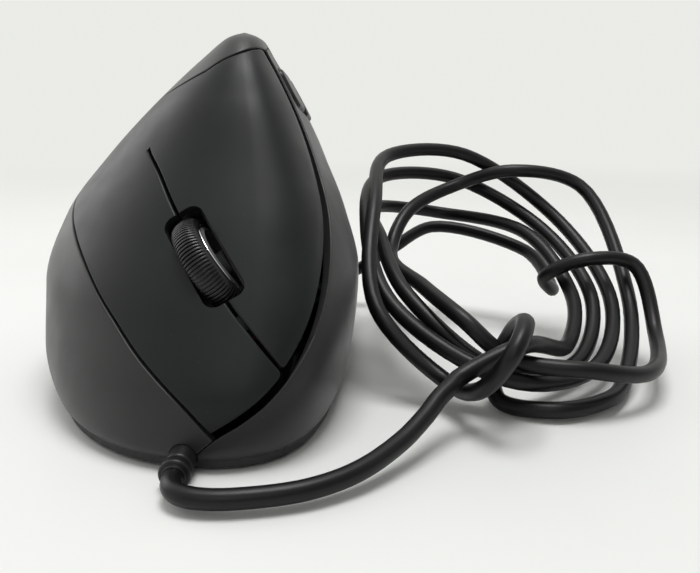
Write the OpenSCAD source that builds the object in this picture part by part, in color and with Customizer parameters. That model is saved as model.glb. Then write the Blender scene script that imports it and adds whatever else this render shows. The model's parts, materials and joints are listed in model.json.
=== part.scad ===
// Vertical ergonomic mouse with a coiled cord. Millimetres, +Z up, the front faces -Y,
// the finger side faces -X and the thumb side faces +X.

/* [Body] */
// overall length, front to rear
body_length = 120; // [115:1:125]
// overall width, finger side to thumb side
body_width = 70; // [68:1:73]
// overall height of the crest
body_height = 75; // [73:1:78]
// wall of the palm and thumb shells
shell_wall = 2; // [1.6:0.1:2.4]
// wall of the key plate and the two keys
key_wall = 1.8; // [1.5:0.1:2.2]
// depth of the hollow for the thumb
thumb_hollow = 3; // [1:0.5:4]

/* [Seams] */
// gap along the lower edge of the key plate
seam_gap = 0.5; // [0.4:0.05:0.7]
// gap between the two keys
split_gap = 0.6; // [0.5:0.05:0.8]
// gap along the front edge of the keys at its widest
front_gap = 1.4; // [1.2:0.1:1.8]
// gap along the rear edge of the key plate
rear_gap = 0.4; // [0.35:0.05:0.6]
// gap at the flex line of a key
flex_gap = 0.12; // [0.1:0.01:0.2]
// gap between the palm and thumb shells
shell_gap = 0.16; // [0.15:0.01:0.22]

/* [Base] */
// thickness of the glide feet
foot_t = 0.8; // [0.6:0.1:1]
// thickness of the base plate
base_t = 2.2; // [2:0.1:2.6]
// inset of the base plate from the shells
base_inset = 0.8; // [0.5:0.1:1.2]
// radius of the screw posts
post_r = 3; // [2.6:0.1:3.2]
// height of the screw posts of the shells
post_h = 8; // [7:0.5:10]
// radius of a screw's thread
screw_r = 1; // [0.8:0.1:1.1]
// radius of a base screw's head
screw_head_r = 2; // [1.8:0.1:2.1]
// height of a screw's head
screw_head_h = 1.1; // [0.9:0.1:1.2]

/* [Wheel] */
// radius of the scroll wheel over its ribs
wheel_r = 10.2; // [10:0.1:10.4]
// width of the scroll wheel
wheel_w = 5.2; // [5:0.1:5.4]
// height of the wheel above the keys
wheel_proud = 3.2; // [2.9:0.1:3.3]
// lean of the wheel toward the finger side, degrees
wheel_lean = 12; // [9:1:13]
// offset of the wheel toward the finger side in its opening
wheel_side = 0.8; // [0.6:0.1:0.9]
// number of ribs round the tyre
wheel_ribs = 96; // [72:4:108]
// length of the wheel opening
slot_length = 20.4; // [20.2:0.1:21]
// width of the wheel opening
slot_width = 7.6; // [7.4:0.1:8]
// radius of the wheel's axle
axle_r = 1.25; // [1.1:0.05:1.4]

/* [Boards] */
// thickness of the circuit boards
board_t = 1.6; // [1.4:0.1:1.6]
// height of the main board above the base plate
board_lift = 4; // [3.8:0.1:4.4]
// length of a key switch
switch_l = 12.8; // [12:0.1:13]
// width of a key switch
switch_w = 5.8; // [5.6:0.1:6]
// height of a key switch
switch_h = 6.5; // [6:0.1:6.8]

/* [Side buttons] */
// length of the pair of side buttons
side_length = 20; // [18:0.5:21]
// height of the side buttons
side_height = 10; // [9:0.5:10.5]
// how far the side buttons stand out
side_proud = 0.7; // [0.5:0.1:0.9]
// gap round the side buttons
side_gap = 0.35; // [0.3:0.05:0.45]

/* [Cord] */
// diameter of the cord
cord_d = 3.4; // [3.2:0.1:3.5]
// radius of the strain relief's end flange
relief_r = 2.7; // [2.5:0.1:2.8]

/* [Hidden] */

eps = 0.01;
kx = body_width / 70;
ky = body_length / 120;
kz = body_height / 75;
base_z = foot_t;
base_top = base_z + base_t;

// sections of the body from the foot to the crest, at 120 x 70 x 75:
// height, finger side, thumb side, front, rear, and the place of the middle
SECTIONS = [
  [1, -28.5, 29.5, -57.5, 58, 10, 4],
  [4, -32.5, 32, -59.5, 59.5, 11, 4],
  [12, -35, 34, -58.5, 60, 14, 4],
  [24, -35, 35, -52.5, 58, 16, 4],
  [37, -30.5, 32, -43.5, 52, 16, 4],
  [49, -21, 27, -34.5, 42, 15, 3],
  [61, -9, 21, -26, 28, 13, 2],
  [69, 0.5, 16.5, -19, 15, 11.5, 0],
  [73.5, 6.5, 13.8, -12, 6, 10.5, -2],
  [75, 9.8, 10.2, -2.6, -2.2, 10, -2.4]
];
SEC = [for (s = SECTIONS) [s[0] * kz, s[1] * kx, s[2] * kx, s[3] * ky, s[4] * ky, s[5] * kx, s[6] * ky]];
LAST = len(SEC) - 1;
function mean_slope(a, b) = a * b > 0 ? 2 * a * b / (a + b) : 0;
SLOPE = [for (i = [0:LAST]) [for (k = [0:6])
  i == 0 ? SEC[1][k] - SEC[0][k] :
  i == LAST ? SEC[LAST][k] - SEC[LAST - 1][k] :
  mean_slope(SEC[i][k] - SEC[i - 1][k], SEC[i + 1][k] - SEC[i][k])]];
function section(t) =
  let (i = max(0, min(floor(t), LAST - 1)), f = t - i, g = f * f, h = g * f)
  SEC[i] * (2 * h - 3 * g + 1) + SLOPE[i] * (h - 2 * g + f) +
  SEC[i + 1] * (3 * g - 2 * h) + SLOPE[i + 1] * (h - g);
LEVELS = [for (i = [0:LAST * 20]) [section(i / 20)[0], i / 20]];
function level(z) = lookup(z, LEVELS);

// the skin: a place on it is an angle round the body and a height
full = 2.1;
corner = 0.7;
hollow_at = [30, 34];
hollow_spread = [34, 13];
function turned(a) = a - 360 * floor((a + 180) / 360);
function hollow(a, z) =
  let (u = turned(a - hollow_at[0]) / hollow_spread[0], v = (z / kz - hollow_at[1]) / hollow_spread[1])
  thumb_hollow * exp(-u * u - v * v);
function outline(a, t) =
  let (s = section(t), c = cos(a), q = sin(a),
    u = abs(c) / (c > 0 ? s[2] - s[5] : s[5] - s[1]),
    v = abs(q) / (q > 0 ? s[4] - s[6] : s[6] - s[3]),
    m = u / (u + v),
    n = full + (c > 0 && q < 0 ? corner * pow(4 * m * (1 - m), 2) : 0),
    r = pow(pow(u, n) + pow(v, n), -1 / n) - hollow(a, s[0]))
  [s[5] + r * c, s[6] + r * q, s[0]];
function unit(v) = v / norm(v);
function facing(a, t) = let (k = min(max(t, 0.02), LAST - 0.02))
  unit(cross(outline(a + 0.5, k) - outline(a - 0.5, k), outline(a, k + 0.01) - outline(a, k - 0.01)));
function skin(q, depth = 0) = let (t = level(q[1])) outline(q[0], t) - depth * facing(q[0], t);
function normal(q) = facing(q[0], level(q[1]));

// a smooth curve through hand-chosen places, from 0 to 1
function along(c, f) =
  let (n = len(c) - 1, x = min(max(f, 0), 1) * n, i = min(floor(x), n - 1), t = x - i,
    p1 = c[i], p2 = c[i + 1],
    p0 = i > 0 ? c[i - 1] : 2 * p1 - p2,
    p3 = i < n - 1 ? c[i + 2] : 2 * p2 - p1)
  p1 + 0.5 * t * (p2 - p0 + t * (2 * p0 - 5 * p1 + 4 * p2 - p3 + t * (3 * p1 - p0 - 3 * p2 + p3)));
function lifted(c) = [for (q = c) [q[0], q[1] * kz]];

// seams of the skin, as angle and height
TIP = [-91.5, 6];
FORK = [-82.5, 15.5];
PEAK = [-61, 71];
FLEX_LOW = [-151, 38.5];
FLEX_MID = [-126.5, 51.5];
FLEX_TOP = [-112, 66.5];
HEEL = [-195, 47];
REAR = [-265, 45];
SEAM_FRONT = lifted([TIP, [-100.5, 13], [-110, 19], [-120, 25.5], [-130, 31], [-140, 35], FLEX_LOW]);
SEAM_REAR = lifted([FLEX_LOW, [-165, 42], [-180, 45], HEEL]);
SEAM = concat(SEAM_FRONT, [for (i = [1:3]) SEAM_REAR[i]]);
NOSE = lifted([TIP, [-88.5, 8.6], [-85.5, 11.6], FORK]);
RIDGE = lifted([FORK, [-78.5, 21.5], [-74.5, 28], [-70.5, 35], [-67, 42.5], [-63.5, 50], [-60.5, 57.5],
  [-59.5, 65], PEAK]);
SPLIT = lifted([FORK, [-88.5, 21.5], [-94.5, 27.6], [-100, 33.9], [-107.5, 40], [-117, 47], FLEX_MID]);
BACK_TOP = lifted([PEAK, [-74, 71.2], [-86, 70.6], [-100.5, 68.9], FLEX_TOP]);
BACK_LOW = lifted([FLEX_TOP, [-131, 63.8], [-156, 60.6], [-178, 55], HEEL]);
CREST = lifted([PEAK, [-30, 71.8], [0, 71.6], [30, 70.6], [55, 67.6], [78, 59], [95, 45]]);
function back(c) = [for (i = [len(c) - 1:-1:0]) c[i]];

// a patch between four curves: low and high run along it, near and far run across it
function patch(low, high, near, far, s, w) =
  let (a = along(low, s), b = along(high, s), c = along(near, w), d = along(far, w))
  a * (1 - w) + b * w + c * (1 - s) + d * s -
  (low[0] * (1 - s) * (1 - w) + along(low, 1) * s * (1 - w) + high[0] * (1 - s) * w + along(high, 1) * s * w);
// the same, drawn in from its edges by the gaps [low, high, near, far] in mm
function inset_patch(p, gaps, s, w) =
  let (across = norm(skin(along(p[0], s)) - skin(along(p[1], s))),
    length = norm(skin(along(p[2], w)) - skin(along(p[3], w))),
    w0 = min(0.3, gaps[0] / across), w1 = min(0.3, gaps[1] / across),
    s0 = min(0.3, gaps[2] / length), s1 = min(0.3, gaps[3] / length))
  patch(p[0], p[1], p[2], p[3], s0 + (1 - s0 - s1) * s, w0 + (1 - w0 - w1) * w);

// points and faces of walls, each [outer grid, inner grid, rims]; rows run up and columns run
// toward smaller angles; rims = [first row, last row, first column, last column], each false,
// true or the [first, last] place along that edge
function flat_list(g) = [for (r = g) each r];
function grid_faces(g, k, out) =
  let (cols = len(g[0]))
  [for (i = [0:len(g) - 2]) for (j = [0:cols - 2]) for (h = [0:1])
    let (a = k + i * cols + j, b = a + 1, c = a + cols, d = c + 1,
      short = norm(g[i][j + 1] - g[i + 1][j]) < norm(g[i][j] - g[i + 1][j + 1]),
      f = short ? (h == 0 ? [a, b, c] : [b, d, c]) : (h == 0 ? [a, b, d] : [a, d, c]))
    out ? f : [f[2], f[1], f[0]]];
function rim_faces(e, m, rim, out) = rim == false ? [] :
  let (ends = rim == true ? [0, len(e) - 1] : rim)
  [for (i = [ends[0]:ends[1] - 1]) for (h = [0:1])
    let (a = e[i], b = e[i + 1], c = a + m, d = b + m)
    out ? (h == 0 ? [a, c, b] : [b, c, d]) : (h == 0 ? [a, b, c] : [b, d, c])];
function wall_faces(w, k) =
  let (rows = len(w[0]), cols = len(w[0][0]), m = rows * cols, rims = w[2])
  concat(grid_faces(w[0], k, true), grid_faces(w[1], k + m, false),
    rim_faces([for (j = [0:cols - 1]) k + j], m, rims[0], true),
    rim_faces([for (j = [0:cols - 1]) k + m - cols + j], m, rims[1], false),
    rim_faces([for (i = [0:rows - 1]) k + i * cols], m, rims[2], false),
    rim_faces([for (i = [0:rows - 1]) k + i * cols + cols - 1], m, rims[3], true));
function sum_to(v, n) = n <= 0 ? 0 : v[n - 1] + sum_to(v, n - 1);
function wall_points(list) = [for (w = list) each concat(flat_list(w[0]), flat_list(w[1]))];
function all_faces(list) =
  let (sizes = [for (w = list) 2 * len(w[0]) * len(w[0][0])])
  [for (i = [0:len(list) - 1]) each wall_faces(list[i], sum_to(sizes, i))];
module walls(list) polyhedron(points = wall_points(list), faces = all_faces(list), convexity = 8);

// grids of a patch: rows run from low to high, columns from near to far
function steps(n, from = 0, to = 1) = [for (i = [0:n]) from + (to - from) * i / n];
function places(p, gaps, ss, ws) = [for (w = ws) [for (s = ss) inset_patch(p, gaps, s, w)]];
function on_skin(g, depth) = [for (r = g) [for (q = r) skin(q, depth)]];
// the same with its first row cut flat at the top of the base plate
function footed(g, depth) = [for (i = [0:len(g) - 1]) [for (q = g[i]) let (p = skin(q, depth))
  i == 0 ? [p[0], p[1], base_top] : p]];
function mirrored(g) = [for (r = g) back(r)];
ALL_ROUND = [true, true, true, true];

// a frame on the body: x and z axes and a place
function frame(p, x, z) = let (y = cross(z, x))
  [[x[0], y[0], z[0], p[0]], [x[1], y[1], z[1], p[1]], [x[2], y[2], z[2], p[2]], [0, 0, 0, 1]];
module at(f) multmatrix(f) children();
function in_frame(f, v) = let (w = f * [v[0], v[1], v[2], 1]) [w[0], w[1], w[2]];
function axis(f, k) = [f[0][k], f[1][k], f[2][k]];
function local(f, p) = let (d = p - axis(f, 3)) [d * axis(f, 0), d * axis(f, 1), d * axis(f, 2)];
// the place on the skin that lies over x, y of a frame, found in short steps from a first guess
function limited(v, m) = max(-m, min(m, v));
function over(f, x, y, q, n = 14) = n == 0 ? q :
  let (e = local(f, skin(q)), ea = local(f, skin(q + [1, 0])) - e, ez = local(f, skin(q + [0, 1])) - e,
    det = ea[0] * ez[1] - ez[0] * ea[1], dx = x - e[0], dy = y - e[1],
    move = [limited((dx * ez[1] - dy * ez[0]) / det, 6), limited((ea[0] * dy - ea[1] * dx) / det, 3)])
  over(f, x, y, q + move, n - 1);

KEY_RIGHT = [SEAM_FRONT, SPLIT, NOSE, [SEAM_FRONT[6], SPLIT[6]]];
KEY_LEFT = [SPLIT, BACK_TOP, RIDGE, [SPLIT[6], BACK_TOP[4]]];
KEY_ROOT = [back(SEAM_REAR), [BACK_LOW[0], SPLIT[6]], back(BACK_LOW), [SEAM_FRONT[6], SPLIT[6]]];
// the seam between the shells comes down to the middle of the strain relief
relief_x = 5;
FRONT_VIEW = frame([0, 0, 0], [1, 0, 0], [0, -1, 0]);
FRONT_FOOT = over(FRONT_VIEW, relief_x, base_top, [TIP[0], base_top]);
HEEL_FOOT = [HEEL[0], base_top];
REAR_FOOT = [REAR[0], base_top];
REAR_TOP = [REAR[0], REAR[1] * kz];
ONE_TURN = [360, 0];
PALM_FRONT = [[FRONT_FOOT, HEEL_FOOT], SEAM, [FRONT_FOOT, SEAM[0]], [HEEL_FOOT, SEAM[9]]];
PALM_REAR = [[HEEL_FOOT, REAR_FOOT], [SEAM[9], REAR_TOP], [HEEL_FOOT, SEAM[9]], [REAR_FOOT, REAR_TOP]];
THUMB = [[FRONT_FOOT, REAR_FOOT + ONE_TURN], CREST, concat([FRONT_FOOT], NOSE, [for (i = [1:8]) RIDGE[i]]),
  [REAR_FOOT + ONE_TURN, REAR_TOP + ONE_TURN]];

// how far a cut runs past a face, and the size of a cut that takes all that lies beyond a plane
cut = 1;
beyond = 200;
// share of a wall that a post or a stem under it sinks into
sunk = 0.7;

// the wheel's frame: x points down the finger side of the split, z stands out of the keys
W_AT = along(SPLIT, 0.513);
W_N = normal(W_AT);
W_RUN = skin(along(SPLIT, 0.35)) - skin(along(SPLIT, 0.65));
W_X = unit(W_RUN - (W_RUN * W_N) * W_N);
W_Z = unit(cos(wheel_lean) * W_N - sin(wheel_lean) * cross(W_N, W_X));
WHEEL = frame(skin(W_AT) - wheel_side * cross(W_Z, W_X), W_X, W_Z);
wheel_sink = wheel_r - wheel_proud;
tyre_t = 1.6;
rib_depth = 0.35;
hub_r = wheel_r - tyre_t;
ring_w = 0.9;
ring_t = 0.7;
ring_proud = 0.1;
rim_t = 1.8;
web_t = 1.4;
boss_r = 2.4;
side_clear = 0.3;
axle_clear = 0.05;
cradle_t = 1.5;
cradle_h = 4;
wheel_clear = 1;
window_r = 1;
window_count = 12;
wheel_boss = wheel_w / 2 + side_clear;
cradle_in = wheel_boss + side_clear;
cradle_out = cradle_in + cradle_t;
cradle_low = -wheel_sink - cradle_h / 2;
pivot_x = -(wheel_r + 2.8);
pivot_r = 1.1;
pivot_l = 2.2;
pivot_back = 1.8;
cradle_rear = pivot_x - pivot_back;
cradle_front = wheel_r + 4.2;
board_z = -(wheel_sink + wheel_r + 0.8);
board_back = board_z - board_t;
board_x = [-18, 12];
board_half = 13.2;
tongue_x = 17.5;
tongue_half = 4.5;
switch_y = 9.9;
switch_x = 5;
plunger_r = 1.1;
plunger_clear = 0.4;
plunger_out = 0.8;
plunger_in = 1;
socket_depth = 2.2;
tact_w = 6;
tact_h = 3.5;
press_x = 14.3;
nib_r = 1.6;
leg_places = [[-6.5, 10], [-6.5, -10], [9.3, 0]];
leg_w = 6;
leg_l = 12;
pilot_r = 0.8;
pilot_depth = 6;
board_screw_head_r = 1.6;
board_screw_l = 4.5;
thread_bite = 0.15;
screw_clear = 0.2;
slot_round = 2.2;
board_window = [-7, 6.5];

// the key plate's seat on the inner frame
ROOT_AT = [-148, 52 * kz];
ROOT_N = normal(ROOT_AT);
ROOT_RUN = unit(cross([0, 0, 1], ROOT_N));
ROOT = frame(skin(ROOT_AT), ROOT_RUN, ROOT_N);
peg_r = 3;
peg_pin_r = 1.2;
peg_pin_l = 4;
peg_reach = 5;
peg_depth = 9;

// the side buttons
S_AT = [0, 61.8 * kz];
S_N = normal(S_AT);
S_RUN = skin([60, 59 * kz]) - skin([-55, 64.5 * kz]);
SIDE = frame(skin(S_AT), unit(S_RUN - (S_RUN * S_N) * S_N), S_N);
side_board_z = -9.5;
side_board_half = 13;
side_board_y = [-12.5, 3.8];
side_switch_x = 5.2;
side_post_r = 2.2;
side_post_x = 8;
side_post_y = -9.5;
side_button_t = 1.6;
side_round = 3;
side_stem_r = 1.5;
side_cut = 6;
// the stretch of skin that the side buttons are cut from, as angles and heights
side_turn = [-75, 75];
side_rise = [44, 71.5];

module right_key() {
  g = places(KEY_RIGHT, [seam_gap, split_gap / 2, front_gap * 0.8, flex_gap / 2], steps(26), steps(12));
  color("#2b2c2d") difference() {
    union() {
      walls([[on_skin(g, 0), on_skin(g, key_wall), ALL_ROUND]]);
      key_nib(-switch_y);
    }
    wheel_opening();
  }
}
module left_key() {
  g = places(KEY_LEFT, [split_gap / 2, rear_gap, front_gap, flex_gap / 2], steps(24), steps(18));
  color("#2b2c2d") difference() {
    union() {
      walls([[on_skin(g, 0), on_skin(g, key_wall), ALL_ROUND]]);
      key_nib(switch_y);
    }
    wheel_opening();
  }
}
module key_nib(y) {
  top = local(WHEEL, skin(over(WHEEL, switch_x, y, W_AT)))[2] - key_wall * sunk;
  low = board_z + switch_h + plunger_out;
  at(WHEEL) translate([switch_x, y, low]) cylinder(r = nib_r, h = top - low, $fn = 48);
}
module wheel_opening() {
  x = slot_length / 2 - slot_round;
  y = slot_width / 2 - slot_round;
  at(WHEEL) translate([0, wheel_side, -wheel_sink]) linear_extrude(2 * wheel_sink) {
    square([2 * x, slot_width], center = true);
    square([slot_length, 2 * y], center = true);
    for (i = [-x, x]) for (j = [-y, y]) translate([i, j]) circle(r = slot_round, $fn = 48);
  }
}
module key_plate() {
  g = mirrored(places(KEY_ROOT, [seam_gap, flex_gap / 2, rear_gap, flex_gap / 2], steps(14), steps(12)));
  color("#2b2c2d") union() {
    walls([[on_skin(g, 0), on_skin(g, key_wall), ALL_ROUND]]);
    for (x = [-peg_reach, peg_reach]) root_peg(x);
  }
}
module root_peg(x) {
  top = local(ROOT, skin(over(ROOT, x, 0, ROOT_AT)))[2] - key_wall * sunk;
  at(ROOT) translate([x, 0, -peg_depth]) {
    cylinder(r = peg_r, h = top + peg_depth, $fn = 48);
    translate([0, 0, -peg_pin_l]) cylinder(r = peg_pin_r, h = peg_pin_l + cut, $fn = 48);
  }
}

post_in = 1.8;
post_floor = 1.5;
function post_place(a) = let (q = [a, base_top], p = skin(q), n = normal(q), h = unit([n[0], n[1]]))
  [p[0], p[1]] - (shell_wall + post_in) * h;
PALM_POSTS = [-125, -190, -235];
THUMB_POSTS = [-50, 50];
module shell_post(a) translate(post_place(a)) translate([0, 0, base_top]) difference() {
  cylinder(r = post_r, h = post_h, $fn = 48);
  translate([0, 0, -eps]) cylinder(r = screw_r - thread_bite, h = post_h - post_floor, $fn = 48);
}
relief_z = 2.9;
relief_neck_r = 2.35;
relief_clear = 0.1;
// places along the strain relief, from the front of the shells at its foot
relief_front = skin(FRONT_FOOT)[1];
relief_in = relief_front + 4.8;
relief_groove = relief_front - 3.6;
relief_flange = relief_front - 4.6;
relief_end = relief_front - 7.2;
lead_rise = relief_front + 13.8;
lead_groove_r = 1.7;
module relief_axis() translate([relief_x, 0, relief_z]) rotate([90, 0, 0]) children();
module relief_opening() relief_axis() {
  translate([0, 0, -relief_in - relief_clear])
    cylinder(r = relief_neck_r + relief_clear, h = relief_in - relief_end, $fn = 48);
  translate([0, 0, -lead_rise]) cylinder(r = lead_groove_r, h = lead_rise - relief_end, $fn = 48);
}

module palm_shell() {
  a = places(PALM_FRONT, [0, 0, 0, 0], steps(28), steps(10));
  b = places(PALM_REAR, [0, 0, 0, 0], steps(12), steps(10));
  loop = concat([for (f = steps(12)) along(PALM_REAR[1], f)],
    [for (i = [1:26]) along(back(CREST), i / 26) - ONE_TURN],
    [for (i = [1:16]) along(BACK_TOP, i / 16) - ONE_TURN],
    [for (i = [1:16]) along(BACK_LOW, i / 16) - ONE_TURN]);
  cap = [for (f = steps(11)) [for (q = loop) [q[0], level(q[1]) + (LAST - level(q[1])) * f]]];
  crown = [for (d = [0, shell_wall])
    [for (r = cap) [for (q = r) outline(q[0], q[1]) - d * facing(q[0], q[1])]]];
  list = [
    [footed(a, 0), footed(a, shell_wall), [true, true, true, false]],
    [footed(b, 0), footed(b, shell_wall), [true, false, false, true]],
    [crown[0], crown[1], [[12, len(loop) - 1], false, false, false]]];
  points = wall_points(list);
  n = len(points);
  m = len(loop);
  top = n - m;
  outer = top - m * len(cap);
  pole = [SEC[LAST][5], SEC[LAST][6], SEC[LAST][0]];
  color("#2b2c2d") difference() {
    union() {
      polyhedron(points = concat(points, [pole, pole - [0, 0, shell_wall]]),
        faces = concat(all_faces(list), [for (j = [0:m - 2]) [outer + j, outer + j + 1, n]],
          [for (j = [0:m - 2]) [top + j + 1, top + j, n + 1]]), convexity = 8);
      for (p = PALM_POSTS) shell_post(p);
    }
    relief_opening();
  }
}
module thumb_shell() {
  ss = concat(steps(20, 0, 0.4), [for (i = [1:14]) 0.4 + 0.6 * i / 14]);
  g = places(THUMB, [0, shell_gap, shell_gap, shell_gap], back(ss), steps(18));
  color("#2b2c2d") difference() {
    union() {
      walls([[footed(g, 0), footed(g, shell_wall), ALL_ROUND]]);
      for (p = THUMB_POSTS) shell_post(p);
      for (x = [-side_post_x, side_post_x]) side_post(x);
    }
    relief_opening();
    at(SIDE) translate([0, 0, -side_cut]) linear_extrude(2 * side_cut)
      side_outline(-side_length / 2, side_length / 2, 0);
  }
}
// the outline of the side-button opening from x = a to b, drawn in by a gap
module side_outline(a, b, gap) {
  r = side_round - gap;
  h = side_height / 2 - gap;
  translate([a + gap + r, -h]) square([b - a - 2 * (gap + r), 2 * h]);
  translate([a + gap, r - h]) square([b - a - 2 * gap, 2 * (h - r)]);
  for (x = [a + gap + r, b - gap - r]) for (y = [-1, 1]) translate([x, y * (h - r)]) circle(r = r, $fn = 48);
}
module side_post(x) {
  top = local(SIDE, skin(over(SIDE, x, side_post_y, S_AT)))[2] - shell_wall * sunk;
  at(SIDE) translate([x, side_post_y, side_board_z]) difference() {
    cylinder(r = side_post_r, h = top - side_board_z, $fn = 48);
    translate([0, 0, -eps]) cylinder(r = pilot_r, h = pilot_depth - board_t, $fn = 48);
  }
}

// one side button from x = a to b
module side_button(a, b, x) {
  g = mirrored([for (z = steps(8, side_rise[0], side_rise[1]))
    [for (q = steps(12, side_turn[0], side_turn[1])) [q, z * kz]]]);
  top = local(SIDE, skin(over(SIDE, x, 0, S_AT)))[2] - side_button_t * 0.5;
  low = side_board_z + tact_h + plunger_out;
  color("#232425") union() {
    intersection() {
      walls([[on_skin(g, -side_proud), on_skin(g, side_button_t), ALL_ROUND]]);
      at(SIDE) translate([0, 0, -side_cut]) linear_extrude(2 * side_cut) side_outline(a, b, side_gap);
    }
    at(SIDE) translate([x, 0, low]) cylinder(r = side_stem_r, h = top - low, $fn = 48);
  }
}
module forward_button() side_button(-side_length / 2, side_gap / 2, -side_switch_x);
module back_button() side_button(-side_gap / 2, side_length / 2, side_switch_x);

// scroll wheel
module wheel_axis() at(WHEEL) translate([0, 0, -wheel_sink]) rotate([-90, 0, 0]) children();
module wheel_tyre() {
  color("#161616") wheel_axis() linear_extrude(wheel_w, center = true) difference() {
    polygon([for (i = [0:wheel_ribs - 1]) for (k = [0:3])
      let (a = 360 * (i + k / 4) / wheel_ribs, r = wheel_r - (k > 1 ? rib_depth : 0))
      [r * cos(a), r * sin(a)]]);
    circle(r = hub_r, $fn = 128);
  }
}
module wheel_hub() {
  h = wheel_w / 2;
  rim = hub_r - rim_t;
  seat = hub_r - ring_w;
  axle = cradle_out - side_clear;
  color("#3c3d3f") wheel_axis() difference() {
    rotate_extrude($fn = 128) polygon([[0, -axle], [axle_r, -axle], [axle_r, -wheel_boss],
      [boss_r, -wheel_boss], [boss_r, -web_t / 2], [rim, -web_t / 2], [rim, -h], [seat, -h], [seat, ring_t - h],
      [hub_r, ring_t - h], [hub_r, h - ring_t], [seat, h - ring_t], [seat, h], [rim, h], [rim, web_t / 2],
      [boss_r, web_t / 2], [boss_r, wheel_boss], [axle_r, wheel_boss], [axle_r, axle], [0, axle]]);
    for (i = [0:window_count - 1]) rotate(i * 360 / window_count) translate([(rim + boss_r) / 2, 0, -web_t])
      cylinder(r = window_r, h = 2 * web_t, $fn = 32);
  }
}
module wheel_rings() {
  color("#d8dadb") wheel_axis() for (m = [0, 1]) mirror([0, 0, m]) translate([0, 0, wheel_w / 2 - ring_t])
    rotate_extrude($fn = 128) translate([hub_r - ring_w, 0]) square([ring_w, ring_t + ring_proud]);
}
module cross_cylinder(x, z, r, half) translate([x, half, z]) rotate([90, 0, 0])
  cylinder(r = r, h = 2 * half, $fn = 48);
module wheel_cradle() {
  pin_end = cradle_out + pivot_l;
  color("#4a4b4d") at(WHEEL) difference() {
    union() {
      translate([cradle_rear, -cradle_out, cradle_low])
        cube([cradle_front - cradle_rear, 2 * cradle_out, cradle_h]);
      cross_cylinder(pivot_x, -wheel_sink, pivot_r, pin_end);
    }
    translate([-wheel_r - wheel_clear, -cradle_in, cradle_low - cut])
      cube([2 * (wheel_r + wheel_clear), 2 * cradle_in, cradle_h + 2 * cut]);
    cross_cylinder(0, -wheel_sink, axle_r + axle_clear, cradle_out + cut);
  }
}
bracket_y = [cradle_out + side_clear, cradle_out + side_clear + 2.5];
bracket_half = 2.6;
bracket_top = -wheel_sink + 2.4;
bracket_foot = 2;
module wheel_bracket() {
  color("#303133") at(WHEEL) difference() {
    union() {
      for (m = [0, 1]) mirror([0, m, 0]) translate([pivot_x - bracket_half, bracket_y[0], board_z])
        cube([2 * bracket_half, bracket_y[1] - bracket_y[0], bracket_top - board_z]);
      translate([pivot_x - bracket_half, -bracket_y[1], board_z])
        cube([2 * bracket_half, 2 * bracket_y[1], bracket_foot]);
    }
    cross_cylinder(pivot_x, -wheel_sink, pivot_r + axle_clear, bracket_y[1] + cut);
  }
}
eye_y = [4.3, 6.6];
eye_top = -wheel_sink - 3.6;
eye_z = -wheel_sink - 5.4;
eye_half = 2;
eye_lens_r = 0.8;
eye_lens_in = 0.5;
module wheel_emitter() color("#9aa3ad") at(WHEEL) mirror([0, 1, 0]) eye();
module wheel_detector() color("#1a1a1c") at(WHEEL) eye();
module eye() {
  translate([-eye_half, eye_y[0], board_z]) cube([2 * eye_half, eye_y[1] - eye_y[0], eye_top - board_z]);
  translate([0, eye_y[0] + eye_lens_in, eye_z]) rotate([90, 0, 0])
    cylinder(r = eye_lens_r, h = 2 * eye_lens_in, $fn = 32);
}

// button board, its switches and its frame
module button_board() {
  color("#1f5a3a") at(WHEEL) difference() {
    union() {
      translate([board_x[0], -board_half, board_back])
        cube([board_x[1] - board_x[0], 2 * board_half, board_t]);
      translate([board_x[1] - cut, -tongue_half, board_back])
        cube([tongue_x - board_x[1] + cut, 2 * tongue_half, board_t]);
    }
    translate([board_window[0], -cradle_in, board_back - cut])
      cube([board_window[1] - board_window[0], 2 * cradle_in, board_t + 2 * cut]);
    for (p = leg_places) translate([p[0], p[1], board_back - cut])
      cylinder(r = screw_r, h = board_t + 2 * cut, $fn = 48);
  }
}
module key_switch(y) {
  color("#18191b") at(WHEEL) translate([switch_x, y, board_z]) difference() {
    translate([-switch_l / 2, -switch_w / 2, 0]) cube([switch_l, switch_w, switch_h]);
    switch_socket(switch_h);
  }
}
module switch_socket(h) translate([0, 0, h - socket_depth])
  cylinder(r = plunger_r + plunger_clear, h = socket_depth + cut, $fn = 48);
module key_plunger(y) color("#c9472f") at(WHEEL) translate([switch_x, y, board_z + switch_h - plunger_in])
  cylinder(r = plunger_r, h = plunger_in + plunger_out, $fn = 48);
module left_switch() key_switch(switch_y);
module right_switch() key_switch(-switch_y);
module left_plunger() key_plunger(switch_y);
module right_plunger() key_plunger(-switch_y);
module tact() difference() {
  translate([-tact_w / 2, -tact_w / 2, 0]) cube([tact_w, tact_w, tact_h]);
  switch_socket(tact_h);
}
module press_switch() color("#232428") at(WHEEL) translate([press_x, 0, board_z]) tact();
module press_plunger() {
  low = board_z + tact_h - plunger_in;
  color("#c9472f") at(WHEEL) translate([press_x, 0, low])
    cylinder(r = plunger_r, h = cradle_low - low, $fn = 48);
}
frame_foot = 2;
frame_x = [-15, 21];
frame_y = [-36, -5];
frame_posts = [[-13, -31], [17, -9]];
frame_clear = 0.6;
root_half = 5;
module past_board() at(WHEEL) translate([-beyond / 2, -beyond / 2, board_back]) cube(beyond);
module past_root() at(ROOT) translate([-beyond / 2, -beyond / 2, -peg_depth]) cube(beyond);
module board_room() {
  half = board_half + frame_clear;
  at(WHEEL) translate([board_x[0] - frame_clear, -half, board_back - frame_clear])
    cube([beyond, 2 * half, beyond]);
}
module board_leg(p) {
  w = in_frame(WHEEL, [p[0], p[1], board_back]);
  translate([w[0] - leg_w / 2, w[1] - leg_w / 2, base_top]) cube([leg_w, leg_l, body_height]);
}
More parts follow.
